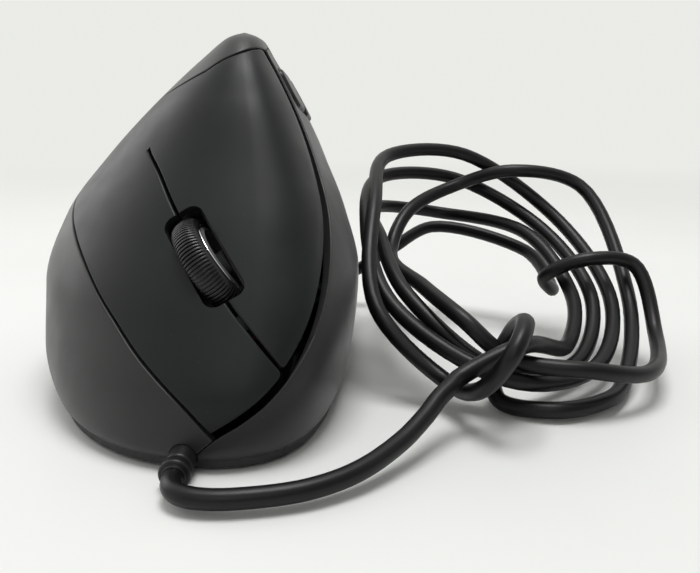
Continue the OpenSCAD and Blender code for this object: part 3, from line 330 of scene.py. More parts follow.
@dataclass
class Skin:
    """The mouse's outer surface, in millimetres.

    A place on it is an angle round the body, in degrees, and a height. A level counts the
    sections from the foot, and the slopes hold the curve between them.
    """

    sections: tuple[Section, ...] = (
        Section(1.0, -28.5, 29.5, -57.5, 58.0, 10.0, 4.0),
        Section(4.0, -32.5, 32.0, -59.5, 59.5, 11.0, 4.0),
        Section(12.0, -35.0, 34.0, -58.5, 60.0, 14.0, 4.0),
        Section(24.0, -35.0, 35.0, -52.5, 58.0, 16.0, 4.0),
        Section(37.0, -30.5, 32.0, -43.5, 52.0, 16.0, 4.0),
        Section(49.0, -21.0, 27.0, -34.5, 42.0, 15.0, 3.0),
        Section(61.0, -9.0, 21.0, -26.0, 28.0, 13.0, 2.0),
        Section(69.0, 0.5, 16.5, -19.0, 15.0, 11.5, 0.0),
        Section(73.5, 6.5, 13.8, -12.0, 6.0, 10.5, -2.0),
        Section(75.0, 9.8, 10.2, -2.6, -2.2, 10.0, -2.4),
    )
    fullness: float = 2.1
    corner: float = 0.7
    hollow_depth: float = 3.0
    hollow_at: tuple[float, float] = (30.0, 34.0)
    hollow_spread: tuple[float, float] = (34.0, 13.0)
    table_steps: int = 20
    stride: tuple[float, float] = (6.0, 3.0)
    slopes: list[Section] = field(init=False)
    heights: list[float] = field(init=False)

    def __post_init__(self) -> None:
        """Work out the slopes between the sections and the table of heights."""
        rows = self.sections
        steps = [Section(*(b - a for a, b in zip(low, high))) for low, high in zip(rows, rows[1:])]
        inner = [Section(*map(self._mean, low, high)) for low, high in zip(steps, steps[1:])]
        self.slopes = [steps[0], *inner, steps[-1]]
        count = self.last * self.table_steps
        self.heights = [self.section(i / self.table_steps).height for i in range(count + 1)]

    @property
    def last(self) -> int:
        """The number of the top section."""
        return len(self.sections) - 1

    @staticmethod
    def _mean(a: float, b: float) -> float:
        """The slope between two steps that keeps the curve from overshooting."""
        return 2.0 * a * b / (a + b) if a * b > 0.0 else 0.0

    def section(self, t: float) -> Section:
        """The section at a level between the given ones.

        Args:
            t: The level, from 0 at the foot to the number of the top section.

        Returns:
            The section there.
        """
        i = max(0, min(int(math.floor(t)), self.last - 1))
        f = t - i
        g, h = f * f, f * f * f
        start, rise, end, fall = 2 * h - 3 * g + 1, h - 2 * g + f, 3 * g - 2 * h, h - g
        ends = zip(self.sections[i], self.slopes[i], self.sections[i + 1], self.slopes[i + 1])
        return Section(*(a * start + b * rise + c * end + d * fall for a, b, c, d in ends))

    def level(self, z: float) -> float:
        """The level at a height.

        Args:
            z: The height.

        Returns:
            The level.
        """
        i = max(1, min(bisect.bisect_left(self.heights, z), len(self.heights) - 1))
        low, high = self.heights[i - 1], self.heights[i]
        share = max(0.0, min(1.0, (z - low) / (high - low)))
        return (i - 1 + share) / self.table_steps

    def point(self, angle: float, t: float) -> Vector:
        """A point of the surface.

        Args:
            angle: The angle round the body, in degrees.
            t: The level.

        Returns:
            The point, in millimetres.
        """
        s = self.section(t)
        c, q = math.cos(math.radians(angle)), math.sin(math.radians(angle))
        u = abs(c) / (s.thumb - s.middle_x if c > 0 else s.middle_x - s.finger)
        v = abs(q) / (s.rear - s.middle_y if q > 0 else s.middle_y - s.front)
        m = u / (u + v)
        n = self.fullness + (self.corner * (4 * m * (1 - m)) ** 2 if c > 0 and q < 0 else 0.0)
        turn = (angle - self.hollow_at[0] + 180.0) % 360.0 - 180.0
        rise = s.height - self.hollow_at[1]
        dip = (turn / self.hollow_spread[0]) ** 2 + (rise / self.hollow_spread[1]) ** 2
        r = (u ** n + v ** n) ** (-1.0 / n) - self.hollow_depth * math.exp(-dip)
        return Vector((s.middle_x + r * c, s.middle_y + r * q, s.height))

    def facing(self, angle: float, t: float) -> Vector:
        """The outward normal at an angle and a level.

        Args:
            angle: The angle round the body, in degrees.
            t: The level.

        Returns:
            The normal, as a unit vector.
        """
        k = min(max(t, 0.02), self.last - 0.02)
        across = self.point(angle + 0.5, k) - self.point(angle - 0.5, k)
        up = self.point(angle, k + 0.01) - self.point(angle, k - 0.01)
        return across.cross(up).normalized()

    def place(self, q: Vector) -> Vector:
        """The point at an angle and a height."""
        return self.point(q[0], self.level(q[1]))

    def normal(self, q: Vector) -> Vector:
        """The outward normal at an angle and a height."""
        return self.facing(q[0], self.level(q[1]))

    def over(self, place: Matrix, x: float, y: float, first: Vector, rounds: int = 10) -> Vector:
        """The place on the skin that lies over x, y of a frame.

        Args:
            place: The frame, with its z axis standing out of the skin.
            x: The distance along the frame's x axis.
            y: The distance along the frame's y axis.
            first: A first guess, as an angle and a height.
            rounds: The number of short steps to take.

        Returns:
            The angle and the height.
        """
        inverse = place.inverted()
        q = first.copy()
        for _ in range(rounds):
            e = inverse @ self.place(q)
            ea = inverse @ self.place(q + Vector((1.0, 0.0))) - e
            ez = inverse @ self.place(q + Vector((0.0, 1.0))) - e
            det = ea.x * ez.y - ez.x * ea.y
            dx, dy = x - e.x, y - e.y
            step = Vector(((dx * ez.y - dy * ez.x) / det, (ea.x * dy - ea.y * dx) / det))
            q = q + Vector([max(-most, min(most, s)) for s, most in zip(step, self.stride)])
        return q


SKIN = Skin()


def along(curve: Curve, f: float) -> Vector:
    """A point on a smooth curve through its places.

    Args:
        curve: The places, each an angle and a height.
        f: How far along it, from 0 to 1.

    Returns:
        The angle and the height there.
    """
    n = len(curve) - 1
    x = min(max(f, 0.0), 1.0) * n
    i = min(int(math.floor(x)), n - 1)
    t = x - i
    p1, p2 = Vector(curve[i]), Vector(curve[i + 1])
    p0 = Vector(curve[i - 1]) if i > 0 else 2 * p1 - p2
    p3 = Vector(curve[i + 2]) if i < n - 1 else 2 * p2 - p1
    bend, twist = 2 * p0 - 5 * p1 + 4 * p2 - p3, 3 * p1 - p0 - 3 * p2 + p3
    return p1 + 0.5 * t * (p2 - p0 + t * (bend + t * twist))


@dataclass(frozen=True)
class Seams:
    """The seams of the skin, each through a few places given as angle and height."""

    foot: float = 1.3
    tip: tuple[float, float] = (-91.5, 6.0)
    fork: tuple[float, float] = (-82.5, 15.5)
    peak: tuple[float, float] = (-61.0, 71.0)
    flex_low: tuple[float, float] = (-151.0, 38.5)
    flex_mid: tuple[float, float] = (-126.5, 51.5)
    flex_top: tuple[float, float] = (-112.0, 66.5)
    heel: tuple[float, float] = (-195.0, 47.0)
    rear: tuple[float, float] = (-265.0, 45.0)

    @property
    def seam_front(self) -> Curve:
        """The lower edge of the right key."""
        return (self.tip, (-100.5, 13.0), (-110.0, 19.0), (-120.0, 25.5), (-130.0, 31.0),
                (-140.0, 35.0), self.flex_low)

    @property
    def seam_rear(self) -> Curve:
        """The lower edge of the key plate's root."""
        return (self.flex_low, (-165.0, 42.0), (-180.0, 45.0), self.heel)

    @property
    def seam(self) -> Curve:
        """The whole lower edge of the key plate."""
        return self.seam_front + self.seam_rear[1:]

    @property
    def nose(self) -> Curve:
        """The front edge of the right key."""
        return (self.tip, (-88.5, 8.6), (-85.5, 11.6), self.fork)

    @property
    def ridge(self) -> Curve:
        """The front edge of the left key."""
        return (self.fork, (-78.5, 21.5), (-74.5, 28.0), (-70.5, 35.0), (-67.0, 42.5),
                (-63.5, 50.0), (-60.5, 57.5), (-59.5, 65.0), self.peak)

    @property
    def split(self) -> Curve:
        """The line between the two keys."""
        return (self.fork, (-88.5, 21.5), (-94.5, 27.6), (-100.0, 33.9), (-107.5, 40.0),
                (-117.0, 47.0), self.flex_mid)

    @property
    def back_top(self) -> Curve:
        """The rear edge of the left key."""
        return (self.peak, (-74.0, 71.2), (-86.0, 70.6), (-100.5, 68.9), self.flex_top)

    @property
    def back_low(self) -> Curve:
        """The rear edge of the key plate's root."""
        return (self.flex_top, (-131.0, 63.8), (-156.0, 60.6), (-178.0, 55.0), self.heel)

    @property
    def crest(self) -> Curve:
        """The upper edge of the thumb shell."""
        return (self.peak, (-30.0, 71.8), (0.0, 71.6), (30.0, 70.6), (55.0, 67.6), (78.0, 59.0),
                (95.0, 45.0))


SEAMS = Seams()


# Patches of skin and the walls made from them


EDGE_STEPS = (0.0, 0.05, 0.12, 0.22, 0.36, 0.6)
EDGE_SHARE = 0.85
GAP_SHARE = 0.3
AHEAD = 0.01
LIP_NEAR = 0.02
LIP_MARGIN = 0.1


def samples(count: int, first: bool, last: bool) -> list[tuple[float, float]]:
    """Places across a patch, closer together at the edges that are rounded.

    Args:
        count: The number of even steps.
        first: Whether the first edge is rounded.
        last: Whether the last edge is rounded.

    Returns:
        Pairs of a share of the way across and an offset in millimetres.
    """
    start = [(0.0, d) for d in EDGE_STEPS] if first else [(0.0, 0.0)]
    end = [(1.0, -d) for d in reversed(EDGE_STEPS)] if last else [(1.0, 0.0)]
    return start + [(i / count, 0.0) for i in range(1, count)] + end


def share_of(sample: tuple[float, float], length: float, count: int) -> float:
    """The share of the way across at which a sample lies.

    Args:
        sample: A share and an offset in millimetres.
        length: The length across, in millimetres.
        count: The number of even steps across.

    Returns:
        The share, kept clear of the next even step.
    """
    most = EDGE_SHARE / count
    offset = sample[1] / length
    largest = EDGE_STEPS[-1] / length
    return sample[0] + offset * min(1.0, most / largest)


def grid_place(vert: bmesh.types.BMVert, nx: int, ny: int) -> tuple[int, int]:
    """The column and the row of a vertex in a new grid of nx by ny squares."""
    return round((vert.co.x + 1.0) / 2.0 * nx), round((vert.co.y + 1.0) / 2.0 * ny)


def finder(points: list[Vector]) -> KDTree:
    """A tree that finds the nearest of some points.

    Args:
        points: The points.

    Returns:
        The tree, ready for use.
    """
    tree = KDTree(len(points))
    for i, co in enumerate(points):
        tree.insert(co, i)
    tree.balance()
    return tree


def round_off(roll: float, distance: float) -> float:
    """How far an edge of radius roll has sunk at a distance from its rim."""
    left = roll - min(roll, distance)
    return roll - math.sqrt(roll ** 2 - left ** 2)


def extruded(mesh: bmesh.types.BMesh) -> list[bmesh.types.BMVert]:
    """Extrude all faces of a mesh, which stay, and give the new vertices.

    Args:
        mesh: The mesh.

    Returns:
        The vertices of the second side.
    """
    made = bmesh.ops.extrude_face_region(mesh, geom=mesh.faces[:], use_keep_orig=True)
    return [g for g in made["geom"] if isinstance(g, bmesh.types.BMVert)]


@dataclass(frozen=True)
class Patch:
    """A stretch of skin between four seams.

    Low and high run along it, near and far run across it. The gaps, in millimetres, draw it in
    from low, high, near and far. The corner between near and the soft edge is rounded. The tuck
    is how far the wall's inner face stays back from near, so that the edge is undercut.
    """

    low: Curve
    high: Curve
    near: Curve
    far: Curve
    gaps: tuple[float, float, float, float] = (0.0, 0.0, 0.0, 0.0)
    columns: int = 40
    rows: int = 30
    rounded: frozenset[Side] = frozenset()
    footed: bool = False
    soft: Side | None = None
    soft_radius: float = 1.1
    tuck: float = 0.0

    def _soften(self, s: float, w: float, length: float, height: float) -> tuple[float, float]:
        """Draw a place near the soft corner in, so that the corner is an arc.

        Args:
            s: The share of the way along the patch.
            w: The share of the way across it.
            length: The length along it, in millimetres.
            height: The distance across it, in millimetres.

        Returns:
            The two shares there.
        """
        if not self.soft:
            return s, w
        up = 1.0 - w if self.soft is Side.HIGH else w
        r = self.soft_radius
        x, y = r - s * length, r - up * height
        if min(x, y) <= 0.0:
            return s, w
        shrink = max(x, y) / math.hypot(x, y)
        up = (r - y * shrink) / height
        return (r - x * shrink) / length, 1.0 - up if self.soft is Side.HIGH else up

    def _blend(self, s: float, w: float) -> Vector:
        """The place at s along the patch and w across it.

        Args:
            s: The share of the way along it.
            w: The share of the way across it.

        Returns:
            The angle and the height there.
        """
        a, b = along(self.low, s), along(self.high, s)
        c, d = along(self.near, w), along(self.far, w)
        corners = (Vector(self.low[0]) * (1 - s) * (1 - w) + Vector(self.low[-1]) * s * (1 - w)
                   + Vector(self.high[0]) * (1 - s) * w + Vector(self.high[-1]) * s * w)
        return a * (1 - w) + b * w + c * (1 - s) + d * s - corners

    def _across(self, s: float) -> float:
        """The distance from low to high, in millimetres."""
        return (SKIN.place(along(self.low, s)) - SKIN.place(along(self.high, s))).length

    def _length(self, w: float) -> float:
        """The distance from near to far, in millimetres."""
        return (SKIN.place(along(self.near, w)) - SKIN.place(along(self.far, w))).length

    def lay(self, mesh: bmesh.types.BMesh) -> None:
        """Add the patch to a mesh as a grid on the skin.

        Args:
            mesh: The mesh, with the layers that wall_layers makes.
        """
        out, rolled, foot, tucked = wall_layers(mesh)
        across = samples(self.rows, Side.LOW in self.rounded, Side.HIGH in self.rounded)
        down = samples(self.columns, Side.NEAR in self.rounded, Side.FAR in self.rounded)
        nx, ny = len(down) - 1, len(across) - 1
        made = bmesh.ops.create_grid(mesh, x_segments=nx, y_segments=ny, size=1.0)
        for vert in made["verts"]:
            i, j = grid_place(vert, nx, ny)
            length, height = self._length(across[j][0]), self._across(down[i][0])
            s = share_of(down[i], length, self.columns)
            w = share_of(across[j], height, self.rows)
            s, w = self._soften(s, w, length, height)
            s0, s1 = (min(GAP_SHARE, gap / length) for gap in self.gaps[2:])
            w0, w1 = (min(GAP_SHARE, gap / height) for gap in self.gaps[:2])
            up = w0 + (1 - w0 - w1) * w
            q = self._blend(s0 + (1 - s0 - s1) * s, up)
            vert.co = SKIN.place(q) * MM
            vert[out] = SKIN.normal(q)
            if s * length < self.tuck:
                ahead = self._blend(s0 + (1 - s0 - s1) * (s + AHEAD), up)
                run = (SKIN.place(ahead) * MM - vert.co).normalized()
                vert[tucked] = run * (self.tuck - s * length) * MM
            edges = ((j == 0, Side.LOW), (j == ny, Side.HIGH), (i == 0, Side.NEAR),
                     (i == nx, Side.FAR))
            vert[rolled] = int(any(on and side in self.rounded for on, side in edges))
            vert[foot] = int(self.footed and j == 0)


def wall_layers(mesh: bmesh.types.BMesh) -> tuple[bmesh.types.BMLayerItem, ...]:
    """The layers that a wall's vertices carry: outward normal, rounded edge, foot and undercut.

    Args:
        mesh: The mesh that holds them.

    Returns:
        The four layers, made if they are missing.
    """
    layers = mesh.verts.layers
    out = layers.float_vector.get("out") or layers.float_vector.new("out")
    rolled = layers.int.get("rolled") or layers.int.new("rolled")
    foot = layers.int.get("foot") or layers.int.new("foot")
    tucked = layers.float_vector.get("tucked") or layers.float_vector.new("tucked")
    return out, rolled, foot, tucked


@dataclass(frozen=True)
class Slot:
    """A rounded opening with straight walls, in a frame whose z axis stands out of the skin.

    Sizes are in millimetres.
    """

    place: Matrix
    left: float
    right: float
    half: float
    corner: float
    reach: float = 9.0
    margin: float = 3.0
    corner_steps: int = 6

    def planes(self) -> list[tuple[Vector, Vector]]:
        """The planes round the opening.

        Returns:
            A point, in metres, and the outward normal of each plane.
        """
        found = []
        turn = 90.0 / self.corner_steps
        corners = ((self.right, 1, 0.0), (self.left, 1, 90.0), (self.left, -1, 180.0),
                   (self.right, -1, 270.0))
        for x, up, first in corners:
            centre = Vector((x - math.copysign(self.corner, x - (self.left + self.right) / 2),
                             up * (self.half - self.corner), 0.0))
            for k in range(self.corner_steps):
                a = math.radians(first + turn * k)
                away = Vector((math.cos(a), math.sin(a), 0.0))
                point = self.place @ (centre + away * self.corner)
                found.append((point * MM, (self.place.to_3x3() @ away).normalized()))
        return found

    def _near(self, face: bmesh.types.BMFace, inverse: Matrix) -> bool:
        """Whether a face lies close to the opening."""
        p = inverse @ (face.calc_center_median() / MM)
        return self.spans(p, self.margin) and abs(p.z) < self.reach

    def spans(self, p: Vector, margin: float) -> bool:
        """Whether a point of the frame lies in the opening's rectangle, or a margin outside it."""
        return self.left - margin < p.x < self.right + margin and abs(p.y) < self.half + margin

    def cut(self, mesh: bmesh.types.BMesh, keep_inside: bool = False) -> None:
        """Cut the outline into a mesh and delete the faces inside it, or those outside it.

        Args:
            mesh: The mesh to cut.
            keep_inside: Whether the part inside the outline stays.
        """
        inverse = self.place.inverted()
        planes = self.planes()
        for point, normal in planes:
            faces = [f for f in mesh.faces if self._near(f, inverse)]
            edges = {e for f in faces for e in f.edges}
            verts = {v for f in faces for v in f.verts}
            bmesh.ops.bisect_plane(mesh, geom=[*verts, *edges, *faces], plane_co=point,
                                   plane_no=normal, dist=1e-7)
        gone = []
        for face in mesh.faces:
            centre = face.calc_center_median()
            inside = self._near(face, inverse) and all((centre - p).dot(n) < 0.0 for p, n in planes)
            if inside != keep_inside:
                gone.append(face)
        bmesh.ops.delete(mesh, geom=gone, context="FACES")


def new_piece(name: str, mesh: bmesh.types.BMesh, finish: Finish) -> bpy.types.Object:
    """Turn a mesh into a smooth-shaded object with a finish.

    Args:
        name: The piece's name.
        mesh: The mesh, which is freed.
        finish: The finish that covers it.

    Returns:
        The object, at the origin.
    """
    data = bpy.data.meshes.new(name)
    mesh.to_mesh(data)
    mesh.free()
    data.polygons.foreach_set("use_smooth", [True] * len(data.polygons))
    data.set_sharp_from_angle(angle=SMOOTH_ANGLE)
    data.materials.append(finish.material())
    piece = bpy.data.objects.new(name, data)
    bpy.context.scene.collection.objects.link(piece)
    return piece


def settle(piece: bpy.types.Object, body: Body, slot: str, *nodes: str) -> bpy.types.Object:
    """Let a piece ride on its body and stand for nodes.

    Args:
        piece: The piece.
        body: The body that carries it.
        slot: The record's material slot; not used.
        *nodes: The nodes that it stands for.

    Returns:
        The same piece.
    """
    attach(piece, body.value)
    if nodes:
        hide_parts(*nodes)
    faces = len(piece.data.polygons) if piece.type == "MESH" else 0
    stands_for = ", ".join(nodes) or "nothing"
    log.info("%s on %s: %d faces, stands for %s", piece.name, body.value, faces, stands_for)
    return piece


@dataclass
class Wall:
    """A moulded wall: patches of skin with rounded edges, a thickness and openings.

    Sizes are in millimetres. The band is a wider, shallow roll along its edge.
    """

    patches: list[Patch]
    thickness: float = 2.0
    roll: float = 0.4
    band: float = 0.0
    band_drop: float = 0.0
    band_edge: Curve = ()
    band_power: float = 1.25
    band_steps: int = 400
    openings: list[Slot] = field(default_factory=list)
    lip: float = 0.2
    lip_steps: int = 3
    crown: Callable[[bmesh.types.BMesh], None] | None = None

    def build(self, name: str, finish: Finish) -> bpy.types.Object:
        """Make the wall's object.

        Args:
            name: The piece's name.
            finish: The finish that covers it.

        Returns:
            The object.
        """
        mesh = bmesh.new()
        wall_layers(mesh)
        for patch in self.patches:
            patch.lay(mesh)
        if self.crown:
            self.crown(mesh)
        bmesh.ops.remove_doubles(mesh, verts=mesh.verts, dist=0.01 * MM)
        self._face_out(mesh)
        self._round_edges(mesh)
        for opening in self.openings:
            opening.cut(mesh)
        self._thicken(mesh)
        return new_piece(name, mesh, finish)

    @staticmethod
    def _face_out(mesh: bmesh.types.BMesh) -> None:
        """Turn every face outward.

        Args:
            mesh: The wall's mesh.
        """
        out = wall_layers(mesh)[0]
        mesh.normal_update()
        wrong = [f for f in mesh.faces
                 if f.normal.dot(sum((Vector(v[out]) for v in f.verts), Vector())) < 0]
        bmesh.ops.reverse_faces(mesh, faces=wrong)

    def _round_edges(self, mesh: bmesh.types.BMesh) -> None:
        """Sink the skin beside its rounded edges, and along the band.

        Args:
            mesh: The wall's mesh.
        """
        out, rolled, _, _ = wall_layers(mesh)
        edge = finder([v.co.copy() for v in mesh.verts if v[rolled]])
        places = range(self.band_steps + 1) if self.band else ()
        wide = finder([SKIN.place(along(self.band_edge, i / self.band_steps)) * MM for i in places])
        for vert in mesh.verts:
            sink = round_off(self.roll, edge.find(vert.co)[2] / MM)
            if self.band:
                share = max(0.0, 1.0 - wide.find(vert.co)[2] / MM / self.band)
                sink += self.band_drop * share ** self.band_power
            vert.co -= Vector(vert[out]) * sink * MM

    def _thicken(self, mesh: bmesh.types.BMesh) -> None:
        """Give the skin its thickness, a flat foot and a rounded lip round its openings.

        Args:
            mesh: The wall's mesh.
        """
        out, _, foot, tucked = wall_layers(mesh)
        lips = self._lips(mesh)
        for vert in extruded(mesh):
            vert.co += Vector(vert[tucked]) - Vector(vert[out]) * self.thickness * MM
        for vert in mesh.verts:
            if vert[foot]:
                vert.co.z = SEAMS.foot * MM
        bmesh.ops.recalc_face_normals(mesh, faces=mesh.faces)
        lips = [e for e in lips if e.is_valid]
        if lips:
            bmesh.ops.bevel(mesh, geom=lips, offset=self.lip * MM, offset_type="OFFSET",
                            segments=self.lip_steps, profile=0.5, affect="EDGES", material=-1,
                            clamp_overlap=True)

    def _lips(self, mesh: bmesh.types.BMesh) -> list[bmesh.types.BMEdge]:
        """The open edges round the openings.

        Args:
            mesh: The wall's mesh, before it has its thickness.

        Returns:
            The edges.
        """
        found = []
        for edge in (e for e in mesh.edges if e.is_boundary):
            middle = (edge.verts[0].co + edge.verts[1].co) / 2
            for opening in self.openings:
                gaps = (abs((middle - p).dot(n)) for p, n in opening.planes())
                local = opening.place.inverted() @ (middle / MM)
                if any(gap < LIP_NEAR * MM for gap in gaps) and opening.spans(local, LIP_MARGIN):
                    found.append(edge)
                    break
        return found


def frame_at(point: Vector, x: Vector, z: Vector) -> Matrix:
    """A frame from a point and its x and z axes.

    Args:
        point: The origin.
        x: The x axis.
        z: The z axis.

    Returns:
        The frame as a matrix.
    """
    y = z.cross(x)
    rows = [(x[i], y[i], z[i], point[i]) for i in range(3)]
    return Matrix((*rows, (0, 0, 0, 1)))


def flattened(run: Vector, normal: Vector) -> Vector:
    """The part of a run that lies square to a normal, as a unit vector."""
    return (run - run.dot(normal) * normal).normalized()


# The body's pieces


@dataclass
class Keys:
    """The key plate: its root and the two keys that bend on it. Sizes are in millimetres.

    The upper key is thinner, and undercut along its front edge, to clear its switch when pressed.
    """

    wall: float = 1.8
    upper_wall: float = 1.5
    seam_gap: float = 0.5
    split_gap: float = 0.6
    front_gap: float = 1.7
    nose_gap: float = 1.36
    front_tuck: float = 0.7
    rear_gap: float = 0.4
    band: float = 4.6
    band_drop: float = 0.7
    wheel_lean: float = 12.0
    wheel_at: float = 0.513
    wheel_span: tuple[float, float] = (0.35, 0.65)
    slot_length: float = 20.4
    slot_width: float = 7.6
    slot_corner: float = 2.2
    lower_grid: tuple[int, int] = (72, 36)
    upper_grid: tuple[int, int] = (64, 60)
    root_grid: tuple[int, int] = (40, 40)

    def slot_frame(self) -> Matrix:
        """The slot's frame: x points down the split and z leans as the wheel does.

        Returns:
            The frame as a matrix.
        """
        q = along(SEAMS.split, self.wheel_at)
        normal = SKIN.normal(q)
        front, rear = (SKIN.place(along(SEAMS.split, f)) for f in self.wheel_span)
        x = flattened(front - rear, normal)
        lean = math.radians(self.wheel_lean)
        z = (math.cos(lean) * normal - math.sin(lean) * normal.cross(x)).normalized()
        return frame_at(SKIN.place(q), x, z)

    def build(self) -> None:
        """Make the root and the two keys."""
        half = self.slot_length / 2
        slot = Slot(self.slot_frame(), -half, half, self.slot_width / 2, self.slot_corner)
        free = frozenset({Side.LOW, Side.HIGH, Side.NEAR})
        right = Patch(SEAMS.seam_front, SEAMS.split, SEAMS.nose, (SEAMS.flex_low, SEAMS.flex_mid),
                      (self.seam_gap, self.split_gap / 2, self.nose_gap, 0.0), *self.lower_grid,
                      free, soft=Side.HIGH)
        left = Patch(SEAMS.split, SEAMS.back_top, SEAMS.ridge, (SEAMS.flex_mid, SEAMS.flex_top),
                     (self.split_gap / 2, self.rear_gap, self.front_gap, 0.0), *self.upper_grid,
                     free, soft=Side.LOW, tuck=self.front_tuck)
        root = Patch(SEAMS.seam_rear[::-1], (SEAMS.flex_top, SEAMS.flex_mid), SEAMS.back_low[::-1],
                     (SEAMS.flex_low, SEAMS.flex_mid), (self.seam_gap, 0.0, self.rear_gap, 0.0),
                     *self.root_grid, frozenset({Side.LOW, Side.NEAR}))
        plate = Wall([root], self.wall).build("plate_root", KEY_TOUCH)
        settle(plate, Body.MAIN, "key_plastic", "key_plate")
        upper = Wall([left], self.upper_wall, band=self.band, band_drop=self.band_drop,
                     band_edge=SEAMS.ridge, openings=[slot])
        settle(upper.build("upper_key", KEY_TOUCH), Body.LEFT_KEY, "key_plastic", "left_key")
        lower = Wall([right], self.wall, openings=[slot])
        settle(lower.build("lower_key", KEY_TOUCH), Body.RIGHT_KEY, "key_plastic", "right_key")


@dataclass
class SideButtons:
    """The two thumb buttons and the opening that they stand in. Sizes are in millimetres."""

    at: tuple[float, float] = (0.0, 61.8)
    run_from: tuple[float, float] = (-55.0, 64.5)
    run_to: tuple[float, float] = (60.0, 59.0)
    length: float = 20.0
    height: float = 10.0
    corner: float = 3.0
    gap: float = 0.35
    proud: float = 0.7
    thickness: float = 2.3
    roll: float = 0.8
    roll_share: float = 0.6
    columns: int = 36
    rows: int = 22

    def frame(self) -> Matrix:
        """The buttons' frame: x runs along the pair and z stands out of the shell.

        Returns:
            The frame as a matrix.
        """
        normal = SKIN.normal(Vector(self.at))
        run = SKIN.place(Vector(self.run_to)) - SKIN.place(Vector(self.run_from))
        return frame_at(SKIN.place(Vector(self.at)), flattened(run, normal), normal)

    def opening(self) -> Slot:
        """The opening in the thumb shell."""
        return Slot(self.frame(), -self.length / 2, self.length / 2, self.height / 2, self.corner)

    def build(self) -> None:
        """Make both buttons."""
        half = self.length / 2
        self._button("forward_button_cap", -half, self.gap / 2, Body.FORWARD_BUTTON,
                     "forward_button")
        self._button("back_button_cap", -self.gap / 2, half, Body.BACK_BUTTON, "back_button")

    def _button(self, name: str, a: float, b: float, body: Body, node: str) -> None:
        """Make one button.

        Args:
            name: The piece's name.
            a: Where it starts along the opening.
            b: Where it ends.
            body: The body that carries it.
            node: The node that it stands for.
        """
        place = self.frame()
        shape = Slot(place, a + self.gap, b - self.gap, self.height / 2 - self.gap,
                     self.corner - self.gap)
        mesh = bmesh.new()
        grid = bmesh.ops.create_grid(mesh, x_segments=self.columns, y_segments=self.rows, size=1.0)
        for vert in grid["verts"]:
            x = (a + b) / 2 + vert.co.x * (b - a) / 2
            vert.co = place @ Vector((x, vert.co.y * self.height / 2, 0.0)) * MM
        shape.cut(mesh, keep_inside=True)
        rim = finder([v.co.copy() for v in mesh.verts if v.is_boundary])
        inverse = place.inverted()
        for vert in mesh.verts:
            sink = self.roll_share * round_off(self.roll, rim.find(vert.co)[2] / MM)
            p = inverse @ (vert.co / MM)
            q = SKIN.over(place, p.x, p.y, Vector(self.at))
            top = (inverse @ SKIN.place(q)).z + self.proud - sink
            vert.co = place @ Vector((p.x, p.y, top)) * MM
        down = place.to_3x3() @ Vector((0.0, 0.0, -self.thickness * MM))
        bmesh.ops.translate(mesh, vec=down, verts=extruded(mesh))
        bmesh.ops.recalc_face_normals(mesh, faces=mesh.faces)
        settle(new_piece(name, mesh, BUTTON_SATIN), body, "button_plastic", node)


